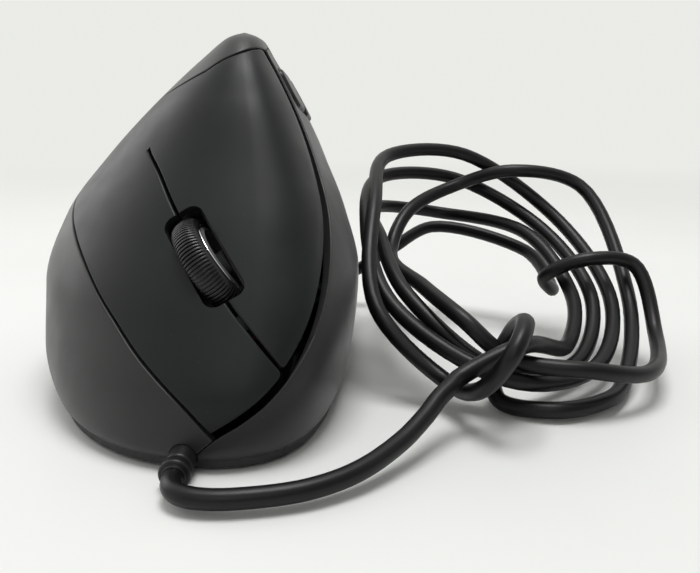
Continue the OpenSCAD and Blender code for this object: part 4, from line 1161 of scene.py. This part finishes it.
@dataclass
class Shells:
    """The palm shell and the thumb shell. Sizes are in millimetres."""

    wall: float = 2.0
    roll: float = 0.3
    shell_gap: float = 0.16
    rear_steps: int = 36
    crest_steps: int = 78
    top_steps: int = 44
    low_steps: int = 44
    crown_rows: int = 26
    palm_grid: tuple[int, int] = (96, 40)
    thumb_grid: tuple[int, int] = (120, 64)
    tuck: float = 1.3
    relief_at: tuple[float, float, float] = (5.0, -58.0, 2.9)
    relief_r: float = 2.45
    relief_corner: float = 0.999
    relief_reach: float = 8.0

    @staticmethod
    def _facing_front(point: Vector) -> Matrix:
        """A frame whose x axis is the body's and whose z axis faces the front."""
        return frame_at(point, Vector((1, 0, 0)), Vector((0, -1, 0)))

    def _relief(self) -> Slot:
        """The notch that the strain relief goes through.

        Returns:
            The opening.
        """
        place = self._facing_front(Vector(self.relief_at))
        r = self.relief_r
        return Slot(place, -r, r, r, r * self.relief_corner, self.relief_reach)

    def _front(self) -> tuple[float, float]:
        """The foot of the seam between the shells, at the middle of the strain relief.

        Returns:
            The angle and the height.
        """
        view = self._facing_front(Vector())
        q = SKIN.over(view, self.relief_at[0], SEAMS.foot, Vector((SEAMS.tip[0], SEAMS.foot)))
        return q.x, SEAMS.foot

    def _crown(self, mesh: bmesh.types.BMesh) -> None:
        """Add the crest of the palm shell, which closes at the top of the body.

        Args:
            mesh: The palm shell's mesh.
        """
        out, rolled, _, _ = wall_layers(mesh)
        turn = Vector((360.0, 0.0))
        rear = (SEAMS.heel, SEAMS.rear)
        loop = [along(rear, i / self.rear_steps) for i in range(self.rear_steps + 1)]
        rest = ((SEAMS.crest[::-1], self.crest_steps), (SEAMS.back_top, self.top_steps),
                (SEAMS.back_low, self.low_steps))
        for curve, count in rest:
            loop += [along(curve, i / count) - turn for i in range(1, count + 1)]
        rows = samples(self.crown_rows, True, False)
        nx, ny = len(loop) - 1, len(rows) - 1
        made = bmesh.ops.create_grid(mesh, x_segments=nx, y_segments=ny, size=1.0)
        top = SKIN.point(0.0, SKIN.last)
        for vert in made["verts"]:
            i, j = grid_place(vert, nx, ny)
            angle, start = loop[i][0], SKIN.level(loop[i][1])
            f = share_of(rows[j], (SKIN.point(angle, start) - top).length, self.crown_rows)
            t = start + (SKIN.last - start) * f
            point = SKIN.point(angle, t)
            if j == ny:
                last = SKIN.sections[-1]
                point = Vector((last.middle_x, last.middle_y, last.height))
            vert.co = point * MM
            vert[out] = Vector((0.0, 0.0, 1.0)) if j == ny else SKIN.facing(angle, t)
            vert[rolled] = int(j == 0 and i >= self.rear_steps)

    def build(self, opening: Slot) -> None:
        """Make both shells.

        Args:
            opening: The opening for the side buttons.
        """
        foot = SEAMS.foot
        front, heel, rear = self._front(), (SEAMS.heel[0], foot), (SEAMS.rear[0], foot)
        columns, rows = self.palm_grid
        finger = Patch((front, heel), SEAMS.seam, (front, SEAMS.tip), (heel, SEAMS.heel),
                       columns=columns, rows=rows, rounded=frozenset({Side.HIGH, Side.NEAR}),
                       footed=True)
        back = Patch((heel, rear), (SEAMS.heel, SEAMS.rear), (heel, SEAMS.heel), (rear, SEAMS.rear),
                     columns=self.rear_steps, rows=rows, rounded=frozenset({Side.FAR}), footed=True)
        palm = Wall([finger, back], self.wall, self.roll, openings=[self._relief()],
                    crown=self._crown)
        settle(palm.build("palm_wall", SOFT_TOUCH), Body.MAIN, "shell_plastic", "palm_shell")
        turned = (SEAMS.rear[0] + 360.0, foot), (SEAMS.rear[0] + 360.0, SEAMS.rear[1])
        thumb = Patch((front, turned[0]), SEAMS.crest, (front, *SEAMS.nose, *SEAMS.ridge[1:]),
                      turned, (0.0, self.shell_gap, self.shell_gap, self.shell_gap),
                      *self.thumb_grid, frozenset({Side.HIGH, Side.NEAR, Side.FAR}), True,
                      tuck=self.tuck)
        shell = Wall([thumb], self.wall, self.roll, openings=[opening, self._relief()])
        settle(shell.build("thumb_wall", SOFT_TOUCH), Body.MAIN, "shell_plastic", "thumb_shell")


# The wheel


def spun(profile: Iterable[tuple[float, float]], steps: int, place: Matrix) -> bmesh.types.BMesh:
    """Spin a closed outline of radius and height, in millimetres, round the z axis of a frame.

    Args:
        profile: The outline's corners.
        steps: The number of steps in the turn.
        place: The frame, in metres.

    Returns:
        The mesh.
    """
    mesh = bmesh.new()
    verts = [mesh.verts.new((r * MM, 0.0, h * MM)) for r, h in profile]
    edges = [mesh.edges.new((verts[i - 1], verts[i])) for i in range(len(verts))]
    bmesh.ops.spin(mesh, geom=verts + edges, cent=(0, 0, 0), axis=(0, 0, 1), angle=math.tau,
                   steps=steps, use_merge=True)
    bmesh.ops.remove_doubles(mesh, verts=mesh.verts, dist=0.001 * MM)
    bmesh.ops.recalc_face_normals(mesh, faces=mesh.faces)
    bmesh.ops.transform(mesh, matrix=place, verts=mesh.verts)
    return mesh


def arc(centre: tuple[float, float], r: float, start: float, end: float,
        steps: int) -> list[tuple[float, float]]:
    """Points on an arc.

    Args:
        centre: The arc's centre.
        r: Its radius.
        start: The first angle, in degrees.
        end: The last angle.
        steps: The number of steps.

    Returns:
        The points, both ends included.
    """
    angles = [math.radians(start + (end - start) * i / steps) for i in range(steps + 1)]
    return [(centre[0] + r * math.cos(a), centre[1] + r * math.sin(a)) for a in angles]


@dataclass
class Wheel:
    """The scroll wheel: a ribbed tyre, a hub and two bright rings. Sizes are in millimetres."""

    radius: float = 10.8
    width: float = 5.2
    tyre: float = 2.2
    ribs: int = 96
    rib_steps: int = 8
    rib_depth: float = 0.45
    rib_fade: float = 0.2
    rib_wave: float = 0.15
    rib_edge: tuple[float, float] = (0.5, 0.3)
    crown_steps: int = 9
    fullness: tuple[float, float] = (2.6, 2.0)
    smooth_share: float = 0.5
    ring_inset: float = 0.2
    ring_width: float = 0.55
    ring_proud: float = 0.1
    ring_depth: float = 0.7
    ring_steps: int = 128
    rim: float = 1.8
    web: float = 0.7
    boss: float = 2.4
    hub_steps: int = 96

    def place(self) -> Matrix:
        """The wheel's frame: its z axis is the axle.

        Returns:
            The frame as a matrix, in metres.
        """
        joint = next(j for j in frame["joints"] if j["name"] == "wheel_spin")
        turn = Vector(joint["axis"]).to_track_quat("Z", "X").to_matrix().to_4x4()
        return Matrix.Translation(Vector(joint["pos_m"])) @ turn

    def build(self) -> None:
        """Make the tyre, the hub and the rings."""
        place = self.place()
        settle(self._tyre(place), Body.WHEEL, "tyre_rubber", "wheel_tyre")
        settle(self._hub(place), Body.WHEEL, "hub_plastic", "wheel_hub")
        settle(self._rings(place), Body.WHEEL, "ring_metal", "wheel_rings")

    def _tyre(self, place: Matrix) -> bpy.types.Object:
        """The tyre, with a crowned tread, ribs across it and smooth shoulders.

        Args:
            place: The wheel's frame.

        Returns:
            The tyre.
        """
        half, inner = self.width / 2, self.radius - self.tyre
        turns = [math.radians(90.0 * k / self.crown_steps) for k in range(self.crown_steps + 1)]
        low, high = ([(inner + self.tyre * math.cos(a) ** (2.0 / n),
                       half * math.sin(a) ** (2.0 / n)) for a in turns] for n in self.fullness)
        outline = [(r, -h) for r, h in reversed(low)] + high[1:]
        mesh = spun(outline, self.ribs * self.rib_steps, Matrix.Identity(4))
        for vert in mesh.verts:
            r = math.hypot(vert.co.x, vert.co.y)
            rise = (r / MM - inner) / self.tyre
            depth = max(0.0, min(1.0, (rise - self.smooth_share) / self.rib_fade))
            wave = 0.5 - 0.5 * math.cos(self.ribs * math.atan2(vert.co.y, vert.co.x))
            steep = max(0.0, min(1.0, (wave - self.rib_edge[0]) / self.rib_edge[1]))
            groove = self.rib_wave * wave + (1.0 - self.rib_wave) * steep
            shrink = 1.0 - self.rib_depth * MM * depth * groove / r
            vert.co = Vector((vert.co.x * shrink, vert.co.y * shrink, vert.co.z))
        bmesh.ops.transform(mesh, matrix=place, verts=mesh.verts)
        return new_piece("ribbed_tyre", mesh, TYRE_RUBBER)

    def _hub(self, place: Matrix) -> bpy.types.Object:
        """The hub: a rim, a thin web and a boss.

        Args:
            place: The wheel's frame.

        Returns:
            The hub.
        """
        half, outer = self.width / 2, self.radius - self.tyre
        rim, boss, web, floor = outer - self.rim, self.boss, self.web, half - self.ring_depth
        seat = outer - self.ring_inset - self.ring_width - 0.05
        side = [(outer, floor), (seat, floor), (seat, half - 0.1), (rim + 0.3, half + 0.2),
                (rim, half + 0.05), (rim - 0.2, web), (boss + 0.3, web), (boss, web + 0.3),
                (boss, half + 0.1), (boss - 0.2, half + 0.3), (0.0, half + 0.3)]
        outline = side + [(r, -h) for r, h in reversed(side)]
        return new_piece("wheel_core", spun(outline, self.hub_steps, place), HUB_SATIN)

    def _rings(self, place: Matrix) -> bpy.types.Object:
        """The two bright rings beside the tyre.

        Args:
            place: The wheel's frame.

        Returns:
            The rings, as one piece.
        """
        half, outer, w = self.width / 2, self.radius - self.tyre - self.ring_inset, self.ring_width
        crest, floor = half + self.ring_proud - w / 2, half - self.ring_depth
        bead = arc((outer - w / 2, crest), w / 2, 0, 180, 8)
        outline = [(outer, floor), *bead, (outer - w, floor)]
        mesh = spun(outline, self.ring_steps, Matrix.Identity(4))
        copy = bmesh.ops.duplicate(mesh, geom=mesh.verts[:] + mesh.edges[:] + mesh.faces[:])
        other = [g for g in copy["geom"] if isinstance(g, bmesh.types.BMVert)]
        bmesh.ops.scale(mesh, vec=(1.0, 1.0, -1.0), verts=other)
        bmesh.ops.recalc_face_normals(mesh, faces=mesh.faces)
        bmesh.ops.transform(mesh, matrix=place, verts=mesh.verts)
        return new_piece("bright_rings", mesh, RING_CHROME)


# The cord and what is on it


@dataclass
class Cord:
    """The cord, its strain relief and its plug. Sizes are in millimetres."""

    diameter: float = 3.4
    steps: int = 9
    bevel_steps: int = 5
    relief_at: tuple[float, float] = (5.0, 2.9)
    relief_length: float = 12.0
    relief_neck: float = 2.35
    relief_waist: float = 1.9
    relief_flange: float = 2.66
    relief_steps: int = 72
    coil_middle: tuple[float, float] = (63.0, 2.0)
    coil_r: tuple[float, float] = (31.0, 33.0)
    coil_lift: float = 26.0
    coil_rise: float = 21.0
    coil_high: float = 120.0
    coil_up: tuple[float, float, float] = (0.33, -0.57, 1.0)
    grip: tuple[float, float, float] = (20.0, 15.0, 8.0)
    grip_round: float = 1.6
    ridges: int = 6
    ridge_width: float = 0.8
    ridge_proud: float = 0.25
    ridge_margin: float = 2.0
    ridge_from: float = 4.0
    ridge_step: float = 2.2
    neck: float = 5.0
    neck_r: float = 3.0
    neck_sunk: float = 2.0
    neck_ribs: int = 3
    neck_steps: int = 48

    @property
    def relief_end(self) -> float:
        """Where the strain relief ends, from its solid."""
        return min(v.co.y for v in frame["nodes"]["strain_relief"].data.vertices) / MM

    def _coil_place(self, v: tuple[float, float, float]) -> Vector:
        """A place by the coil.

        Args:
            v: The angle round it, the offset outward and the offset up from its ring.

        Returns:
            The place.
        """
        a = math.radians(v[0])
        rise = self.coil_lift + self.coil_rise * math.cos(math.radians(v[0] - self.coil_high))
        ring = Vector((self.coil_middle[0] + (self.coil_r[0] + v[1]) * math.cos(a),
                       self.coil_middle[1] + (self.coil_r[1] + v[1]) * math.sin(a), rise))
        return ring + v[2] * Vector(self.coil_up).normalized()

    @staticmethod
    def _turn(a: float, half: float, c: tuple[float, float], r: tuple[float, float], first: float,
              start: int, end: int) -> list[tuple[float, float, float]]:
        """A turn of the cord round its own loops.

        Args:
            a: The angle round the coil.
            half: Half its advance.
            c: Its middle, as offsets outward and up.
            r: Its reach outward and up.
            first: The angle at which it starts.
            start: Its first sixth.
            end: Its last sixth.

        Returns:
            Places by the coil.
        """
        found = []
        for i in range(start, end + 1):
            b = math.radians(first + 60.0 * i)
            outward, up = c[0] + r[0] * math.cos(b), c[1] + r[1] * math.sin(b)
            found.append((a - half + half * i / 3, outward, up))
        return found

    def route_points(self) -> list[Vector]:
        """The points that the cord goes through, from the strain relief to the plug.

        Returns:
            The points, in millimetres.
        """
        x, z = self.relief_at
        free = [(x, self.relief_end, z), (x, self.relief_end - 1.4, z), (5.8, -69.7, 2.8),
                (7.8, -71.3, 2.7), (10.8, -72.0, 2.6), (16.0, -71.9, 2.6), (26.0, -69.6, 2.8),
                (34.0, -64.8, 3.4), (41.5, -57.0, 5.0), (46.0, -51.3, 7.1), (48.8, -47.4, 8.9),
                (51.0, -45.0, 10.0), (53.2, -42.6, 11.1)]
        coil = [(-90, 2, 9), (-45, -8.5, 4), (0, -8, 0), (45, -7, -5), (90, -3, -17),
                (135, -4, -16), (180, -10.5, -9), (225, -6.5, -1),
                (-90, 0, 0), (-45, -4, 0), (0, -3.5, 0), (45, -2.5, -3), (90, 0, -5),
                (135, -2, -6), (180, -6, -4.5), (225, -2, -2.5),
                (-90, 4.8, 0.5), (-45, 0.5, 0), (0, 1, 0), (45, 2.5, 0), (90, 0, 3),
                (135, -2, 1), (180, -6, 2), (225, 3, -2.2), (-105, 6, -5.5),
                *self._turn(-94, 6, (4.5, 4.5), (10.5, 10.5), -90, 1, 6),
                (-75, 10, -4), (-60, 10, -3), (-45, 8, -3), (0, 5.5, 0), (45, 9, 9), (67, -2, 5),
                (90, -6, -7), (135, -16, -16), (180, -15, -15), (225, -10.5, 1),
                (-110, -3, 7), (-90, 0.5, 4.5), (-67, 6, 6), (-45, 11, 2), (-15, 10.5, -2),
                *self._turn(12, 9, (-1, -0.6), (12, 8), 0, 1, 4),
                (45, 0, -13), (90, 0, -23)]
        tail = [(46.0, 46.0, 19.0), (43.4, 47.2, 17.2), (40.8, 48.4, 15.4), (33.0, 51.0, 10.0),
                (22.0, 60.0, 5.0), (8.0, 72.0, 3.5), (-3.0, 77.0, 4.0), (-6.2, 78.2, 4.0)]
        return [*map(Vector, free), *map(self._coil_place, coil), *map(Vector, tail)]

    def route(self) -> list[Vector]:
        """The cord's centreline: smooth between its points and straight at its ends.

        Returns:
            The points along it, in metres.
        """
        c = self.route_points()
        found = [c[0]]
        for i in range(1, len(c) - 2):
            p0, p1, p2, p3 = c[i - 1:i + 3]
            a, b, d = ((q - p).length ** 0.5 for p, q in ((p0, p1), (p1, p2), (p2, p3)))
            m1 = p2 - p1 + b * ((p1 - p0) / a - (p2 - p0) / (a + b))
            m2 = p2 - p1 + b * ((p3 - p2) / d - (p3 - p1) / (b + d))
            for k in range(self.steps):
                t = k / self.steps
                u, v = t * t, t * t * t
                found.append(p1 * (2 * v - 3 * u + 1) + m1 * (v - 2 * u + t)
                             + p2 * (3 * u - 2 * v) + m2 * (v - u))
        return [p * MM for p in found + [c[-2], c[-1]]]

    def build(self) -> None:
        line = self.route()
        data = bpy.data.curves.new("cord", "CURVE")
        data.dimensions = "3D"
        data.bevel_depth = self.diameter / 2 * MM
        data.bevel_resolution = self.bevel_steps
        data.use_fill_caps = True
        spline = data.splines.new("POLY")
        spline.points.add(len(line) - 1)
        for point, co in zip(spline.points, line):
            point.co = (*co, 1.0)
        spline.use_smooth = True
        data.materials.append(CORD_RUBBER.material())
        cord = bpy.data.objects.new("cord", data)
        bpy.context.scene.collection.objects.link(cord)
        settle(cord, Body.MAIN, "cord_rubber", "cable", "cable_coil", "cable_tail")
        relief = settle(self._relief(), Body.MAIN, "cord_rubber", "strain_relief")
        grip = settle(self._grip(line), Body.MAIN, "cord_rubber", "plug_grip")

    def _relief(self) -> bpy.types.Object:
        """The strain relief: a neck, a groove, a round flange and a short taper.

        Returns:
            The strain relief.
        """
        neck, waist, flange = self.relief_neck, self.relief_waist, self.relief_flange
        r, end = self.diameter / 2, -self.relief_end
        start = end - self.relief_length
        outline = [(0.0, start), (neck, start), (neck, end - 3.9), (neck - 0.15, end - 3.6),
                   (waist, end - 3.4), (waist, end - 2.9), (flange - 0.3, end - 2.7),
                   *arc((flange - 0.35, end - 2.3), 0.35, -60, 0, 4),
                   *arc((flange - 0.55, end - 1.2), 0.55, 0, 75, 5),
                   (r + 0.3, end - 0.6), (r + 0.22, end - 0.1), (r + 0.1, end), (0.0, end)]
        place = Matrix.Translation(Vector((self.relief_at[0], 0.0, self.relief_at[1])) * MM)
        place = place @ Matrix.Rotation(math.pi / 2, 4, "X")
        return new_piece("relief_collar", spun(outline, self.relief_steps, place), RELIEF_RUBBER)

    def _grip(self, line: list[Vector]) -> bpy.types.Object:
        """The plug's moulded grip, with a ribbed neck and finger ridges.

        Args:
            line: The cord's centreline, which ends at the grip.

        Returns:
            The grip.
        """
        run = (line[-1] - line[-2]).normalized()
        place = Matrix.Translation(line[-1]) @ run.to_track_quat("X", "Z").to_matrix().to_4x4()
        length, width, height = self.grip
        mesh = bmesh.new()
        cube = bmesh.ops.create_cube(mesh, size=1.0)["verts"]
        bmesh.ops.scale(mesh, vec=Vector((length, width, height)) * MM, verts=cube)
        bmesh.ops.translate(mesh, vec=Vector((self.neck + length / 2, 0.0, 0.0)) * MM, verts=cube)
        bmesh.ops.bevel(mesh, geom=mesh.edges[:], offset=self.grip_round * MM, offset_type="OFFSET",
                        segments=5, profile=0.5, affect="EDGES", material=-1)
        size = Vector((self.ridge_width, width + 2 * self.ridge_proud,
                       height - 2 * self.ridge_margin))
        for k in range(self.ridges):
            ridge = bmesh.ops.create_cube(mesh, size=1.0)["verts"]
            x = self.neck + self.ridge_from + self.ridge_step * k
            bmesh.ops.scale(mesh, vec=size * MM, verts=ridge)
            bmesh.ops.translate(mesh, vec=Vector((x, 0.0, 0.0)) * MM, verts=ridge)
            edges = list({e for v in ridge for e in v.link_edges})
            bmesh.ops.bevel(mesh, geom=edges, offset=self.ridge_proud * MM, offset_type="OFFSET",
                            segments=2, profile=0.5, affect="EDGES", material=-1)
        r = self.diameter / 2
        outline = [(0.0, 0.0), (r + 0.25, 0.0)]
        for k in range(self.neck_ribs):
            h, base = 0.6 + 1.5 * k, r + 0.22 * k
            outline += [(base + 0.45, h), (base + 0.6, h + 0.9), (base + 0.3, h + 1.0)]
        end = self.neck + self.neck_sunk
        outline += [(self.neck_r, self.neck), (self.neck_r, end), (0.0, end)]
        neck = spun(outline, self.neck_steps, Matrix.Rotation(math.pi / 2, 4, "Y"))
        joined = bpy.data.meshes.new("plug_neck")
        neck.to_mesh(joined)
        neck.free()
        mesh.from_mesh(joined)
        bpy.data.meshes.remove(joined)
        bmesh.ops.transform(mesh, matrix=place, verts=mesh.verts)
        return new_piece("plug_handle", mesh, RELIEF_RUBBER)


# Nodes that keep their own shape


NODE_FINISHES: dict[str, Finish] = {
    "base_plate": BASE_MATTE,
    "wheel_cradle": FRAME_GREY,
    "wheel_bracket": FRAME_GREY,
    "wheel_emitter": CLEAR_LENS,
    "wheel_detector": CHIP_BLACK,
    "button_board": BOARD_GREEN,
    "left_switch": CHIP_BLACK,
    "right_switch": CHIP_BLACK,
    "left_plunger": PLUNGER_RED,
    "right_plunger": PLUNGER_RED,
    "press_switch": CHIP_BLACK,
    "press_plunger": PLUNGER_RED,
    "inner_frame": FRAME_GREY,
    "side_board": BOARD_GREEN,
    "back_switch": CHIP_BLACK,
    "forward_switch": CHIP_BLACK,
    "back_plunger": PLUNGER_RED,
    "forward_plunger": PLUNGER_RED,
    "main_board": BOARD_GREEN,
    "sensor": CHIP_BLACK,
    "sensor_lens": CLEAR_LENS,
    "lamp": LAMP_RED,
    "lamp_clip": FRAME_GREY,
    "controller": CHIP_BLACK,
    "cable_header": HEADER_IVORY,
    "board_wires": WIRE_SLEEVE,
    "side_wires": WIRE_SLEEVE,
    "base_screws": SCREW_STEEL,
    "board_screws": SCREW_STEEL,
    "glide_feet": FOOT_FILM,
    "cable_lead": CORD_RUBBER,
    "plug_shell": PLUG_NICKEL,
    "plug_tongue": TONGUE_WHITE,
}


def dress_nodes() -> None:
    """Give every node that keeps its shape its finish."""
    for name, finish in NODE_FINISHES.items():
        node = frame["nodes"][name]
        node.data.materials.clear()
        node.data.materials.append(finish.material())
        log.info("%s: %s", name, finish.name)


# The studio


@dataclass(frozen=True)
class Lamp:
    """A square soft light: its name, place, aim, side in metres and power in watts."""

    name: str
    at: tuple[float, float, float]
    aim: tuple[float, float, float]
    side: float
    power: float

    def build(self) -> None:
        """Make the light."""
        data = bpy.data.lights.new(self.name, "AREA")
        data.size = self.side
        data.energy = self.power
        light = bpy.data.objects.new(self.name, data)
        light.location = self.at
        run = Vector(self.aim) - Vector(self.at)
        light.rotation_euler = run.to_track_quat("-Z", "Y").to_euler()
        bpy.context.scene.collection.objects.link(light)


@dataclass
class Studio:
    """The camera, a pale floor and soft lights. Sizes are in metres."""

    eye: tuple[float, float, float] = (0.0328, -0.175, 0.060)
    pitch: float = 13.5
    focal_pixels: float = 760.0
    image_width: float = 700.0
    sensor: float = 36.0
    floor_colour: tuple[float, float, float] = (0.86, 0.865, 0.85)
    sky_colour: tuple[float, float, float] = (0.825, 0.835, 0.80)
    sky_light: float = 0.62
    near_dim: float = 0.3
    dim_range: tuple[float, float] = (-0.9, 0.3)
    pale_side: tuple[float, float, float] = (-0.55, 0.83, 0.0)
    floor_size: float = 6.0
    fade: tuple[float, float] = (0.16, 0.7)
    lamps: tuple[Lamp, ...] = (
        Lamp("top_light", (0.06, -0.02, 0.9), (0.0, 0.0, 0.02), 0.42, 5.0),
        Lamp("left_light", (-0.70, 0.45, 0.40), (0.0, 0.0, 0.04), 0.6, 1.7),
        Lamp("front_light", (-0.05, -0.9, 0.7), (0.0, 0.0, 0.03), 0.6, 1.1),
    )

    def build(self) -> None:
        """Make the camera, the floor, the lights and the sky."""
        self._camera()
        self._floor()
        self._sky()
        for lamp in self.lamps:
            lamp.build()
        bpy.context.scene.view_settings.view_transform = "Standard"

    def _camera(self) -> None:
        """The camera at the photograph's place and angle."""
        data = bpy.data.cameras.new("camera")
        data.sensor_width = self.sensor
        data.lens = self.focal_pixels / self.image_width * self.sensor
        data.clip_start = 0.01
        camera = bpy.data.objects.new("camera", data)
        camera.location = self.eye
        camera.rotation_euler = (math.radians(90.0 - self.pitch), 0.0, 0.0)
        bpy.context.scene.collection.objects.link(camera)
        bpy.context.scene.camera = camera

    def _floor(self) -> None:
        """A wide pale floor that the camera sees run into the sky."""
        mesh = bmesh.new()
        bmesh.ops.create_grid(mesh, x_segments=4, y_segments=4, size=self.floor_size)
        finish = Finish("floor_pale", self.floor_colour, 0.6, 0.05, specular=0.3, mottle=0.012,
                        mottle_size=0.08, grain_bump=0.0)
        floor = new_piece("floor", mesh, finish)
        self._fade(finish.material().node_tree)

    @staticmethod
    def _math(tree: bpy.types.NodeTree, operation: str, first: bpy.types.NodeSocket,
              second: bpy.types.NodeSocket) -> bpy.types.NodeSocket:
        """Work out a value from two others.

        Args:
            tree: The node tree.
            operation: The operation's name.
            first: The first value.
            second: The second value.

        Returns:
            The result.
        """
        node = tree.nodes.new("ShaderNodeMath")
        node.operation = operation
        tree.links.new(first, node.inputs[0])
        tree.links.new(second, node.inputs[1])
        return node.outputs["Value"]

    def _fade(self, tree: bpy.types.NodeTree) -> None:
        """Let the camera see the sky's colour in place of the floor's, away from the mouse.

        Args:
            tree: The floor material's node tree.
        """
        place = tree.nodes.new("ShaderNodeTexCoord")
        away = tree.nodes.new("ShaderNodeVectorMath")
        away.operation = "LENGTH"
        tree.links.new(place.outputs["Object"], away.inputs[0])
        share = tree.nodes.new("ShaderNodeMapRange")
        share.interpolation_type = "SMOOTHSTEP"
        share.inputs["From Min"].default_value = self.fade[0]
        share.inputs["From Max"].default_value = self.fade[1]
        tree.links.new(away.outputs["Value"], share.inputs["Value"])
        path = tree.nodes.new("ShaderNodeLightPath")
        seen = self._math(tree, "MULTIPLY", path.outputs["Is Camera Ray"], share.outputs["Result"])
        glow = tree.nodes.new("ShaderNodeEmission")
        glow.inputs["Color"].default_value = (*self.sky_colour, 1.0)
        mix = tree.nodes.new("ShaderNodeMixShader")
        tree.links.new(seen, mix.inputs[0])
        tree.links.new(tree.nodes["Principled BSDF"].outputs["BSDF"], mix.inputs[1])
        tree.links.new(glow.outputs["Emission"], mix.inputs[2])
        tree.links.new(mix.outputs["Shader"], tree.nodes["Material Output"].inputs["Surface"])

    def _sky(self) -> None:
        """A pale sky that the camera, metal and clear pieces see, and that lights the rest softly.

        Its near right side is dimmer, as a room is away from a pale wall.
        """
        world = bpy.data.worlds.new("sky")
        world.use_nodes = True
        tree = world.node_tree
        back = tree.nodes["Background"]
        back.inputs["Color"].default_value = (*self.sky_colour, 1.0)
        path = tree.nodes.new("ShaderNodeLightPath")
        seen = path.outputs["Is Camera Ray"]
        for other in ("Is Glossy Ray", "Is Transmission Ray"):
            seen = self._math(tree, "MAXIMUM", seen, path.outputs[other])
        strength = tree.nodes.new("ShaderNodeMapRange")
        strength.inputs["To Min"].default_value = self.sky_light
        strength.inputs["To Max"].default_value = 1.0
        tree.links.new(seen, strength.inputs["Value"])
        place = tree.nodes.new("ShaderNodeTexCoord")
        facing = tree.nodes.new("ShaderNodeVectorMath")
        facing.operation = "DOT_PRODUCT"
        facing.inputs[1].default_value = self.pale_side
        tree.links.new(place.outputs["Generated"], facing.inputs[0])
        dim = tree.nodes.new("ShaderNodeMapRange")
        dim.inputs["From Min"].default_value = self.dim_range[0]
        dim.inputs["From Max"].default_value = self.dim_range[1]
        dim.inputs["To Min"].default_value = self.near_dim
        tree.links.new(facing.outputs["Value"], dim.inputs["Value"])
        even = self._math(tree, "MAXIMUM", path.outputs["Is Camera Ray"], dim.outputs["Result"])
        level = self._math(tree, "MULTIPLY", strength.outputs["Result"], even)
        tree.links.new(level, back.inputs["Strength"])
        bpy.context.scene.world = world


def main() -> None:
    """Build the scene."""
    logging.basicConfig(level=logging.INFO, format="%(message)s")
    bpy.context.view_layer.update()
    Studio().build()
    Cord().build()
    buttons = SideButtons()
    Shells().build(buttons.opening())
    Keys().build()
    buttons.build()
    Wheel().build()
    dress_nodes()


if __name__ == "__main__":
    main()
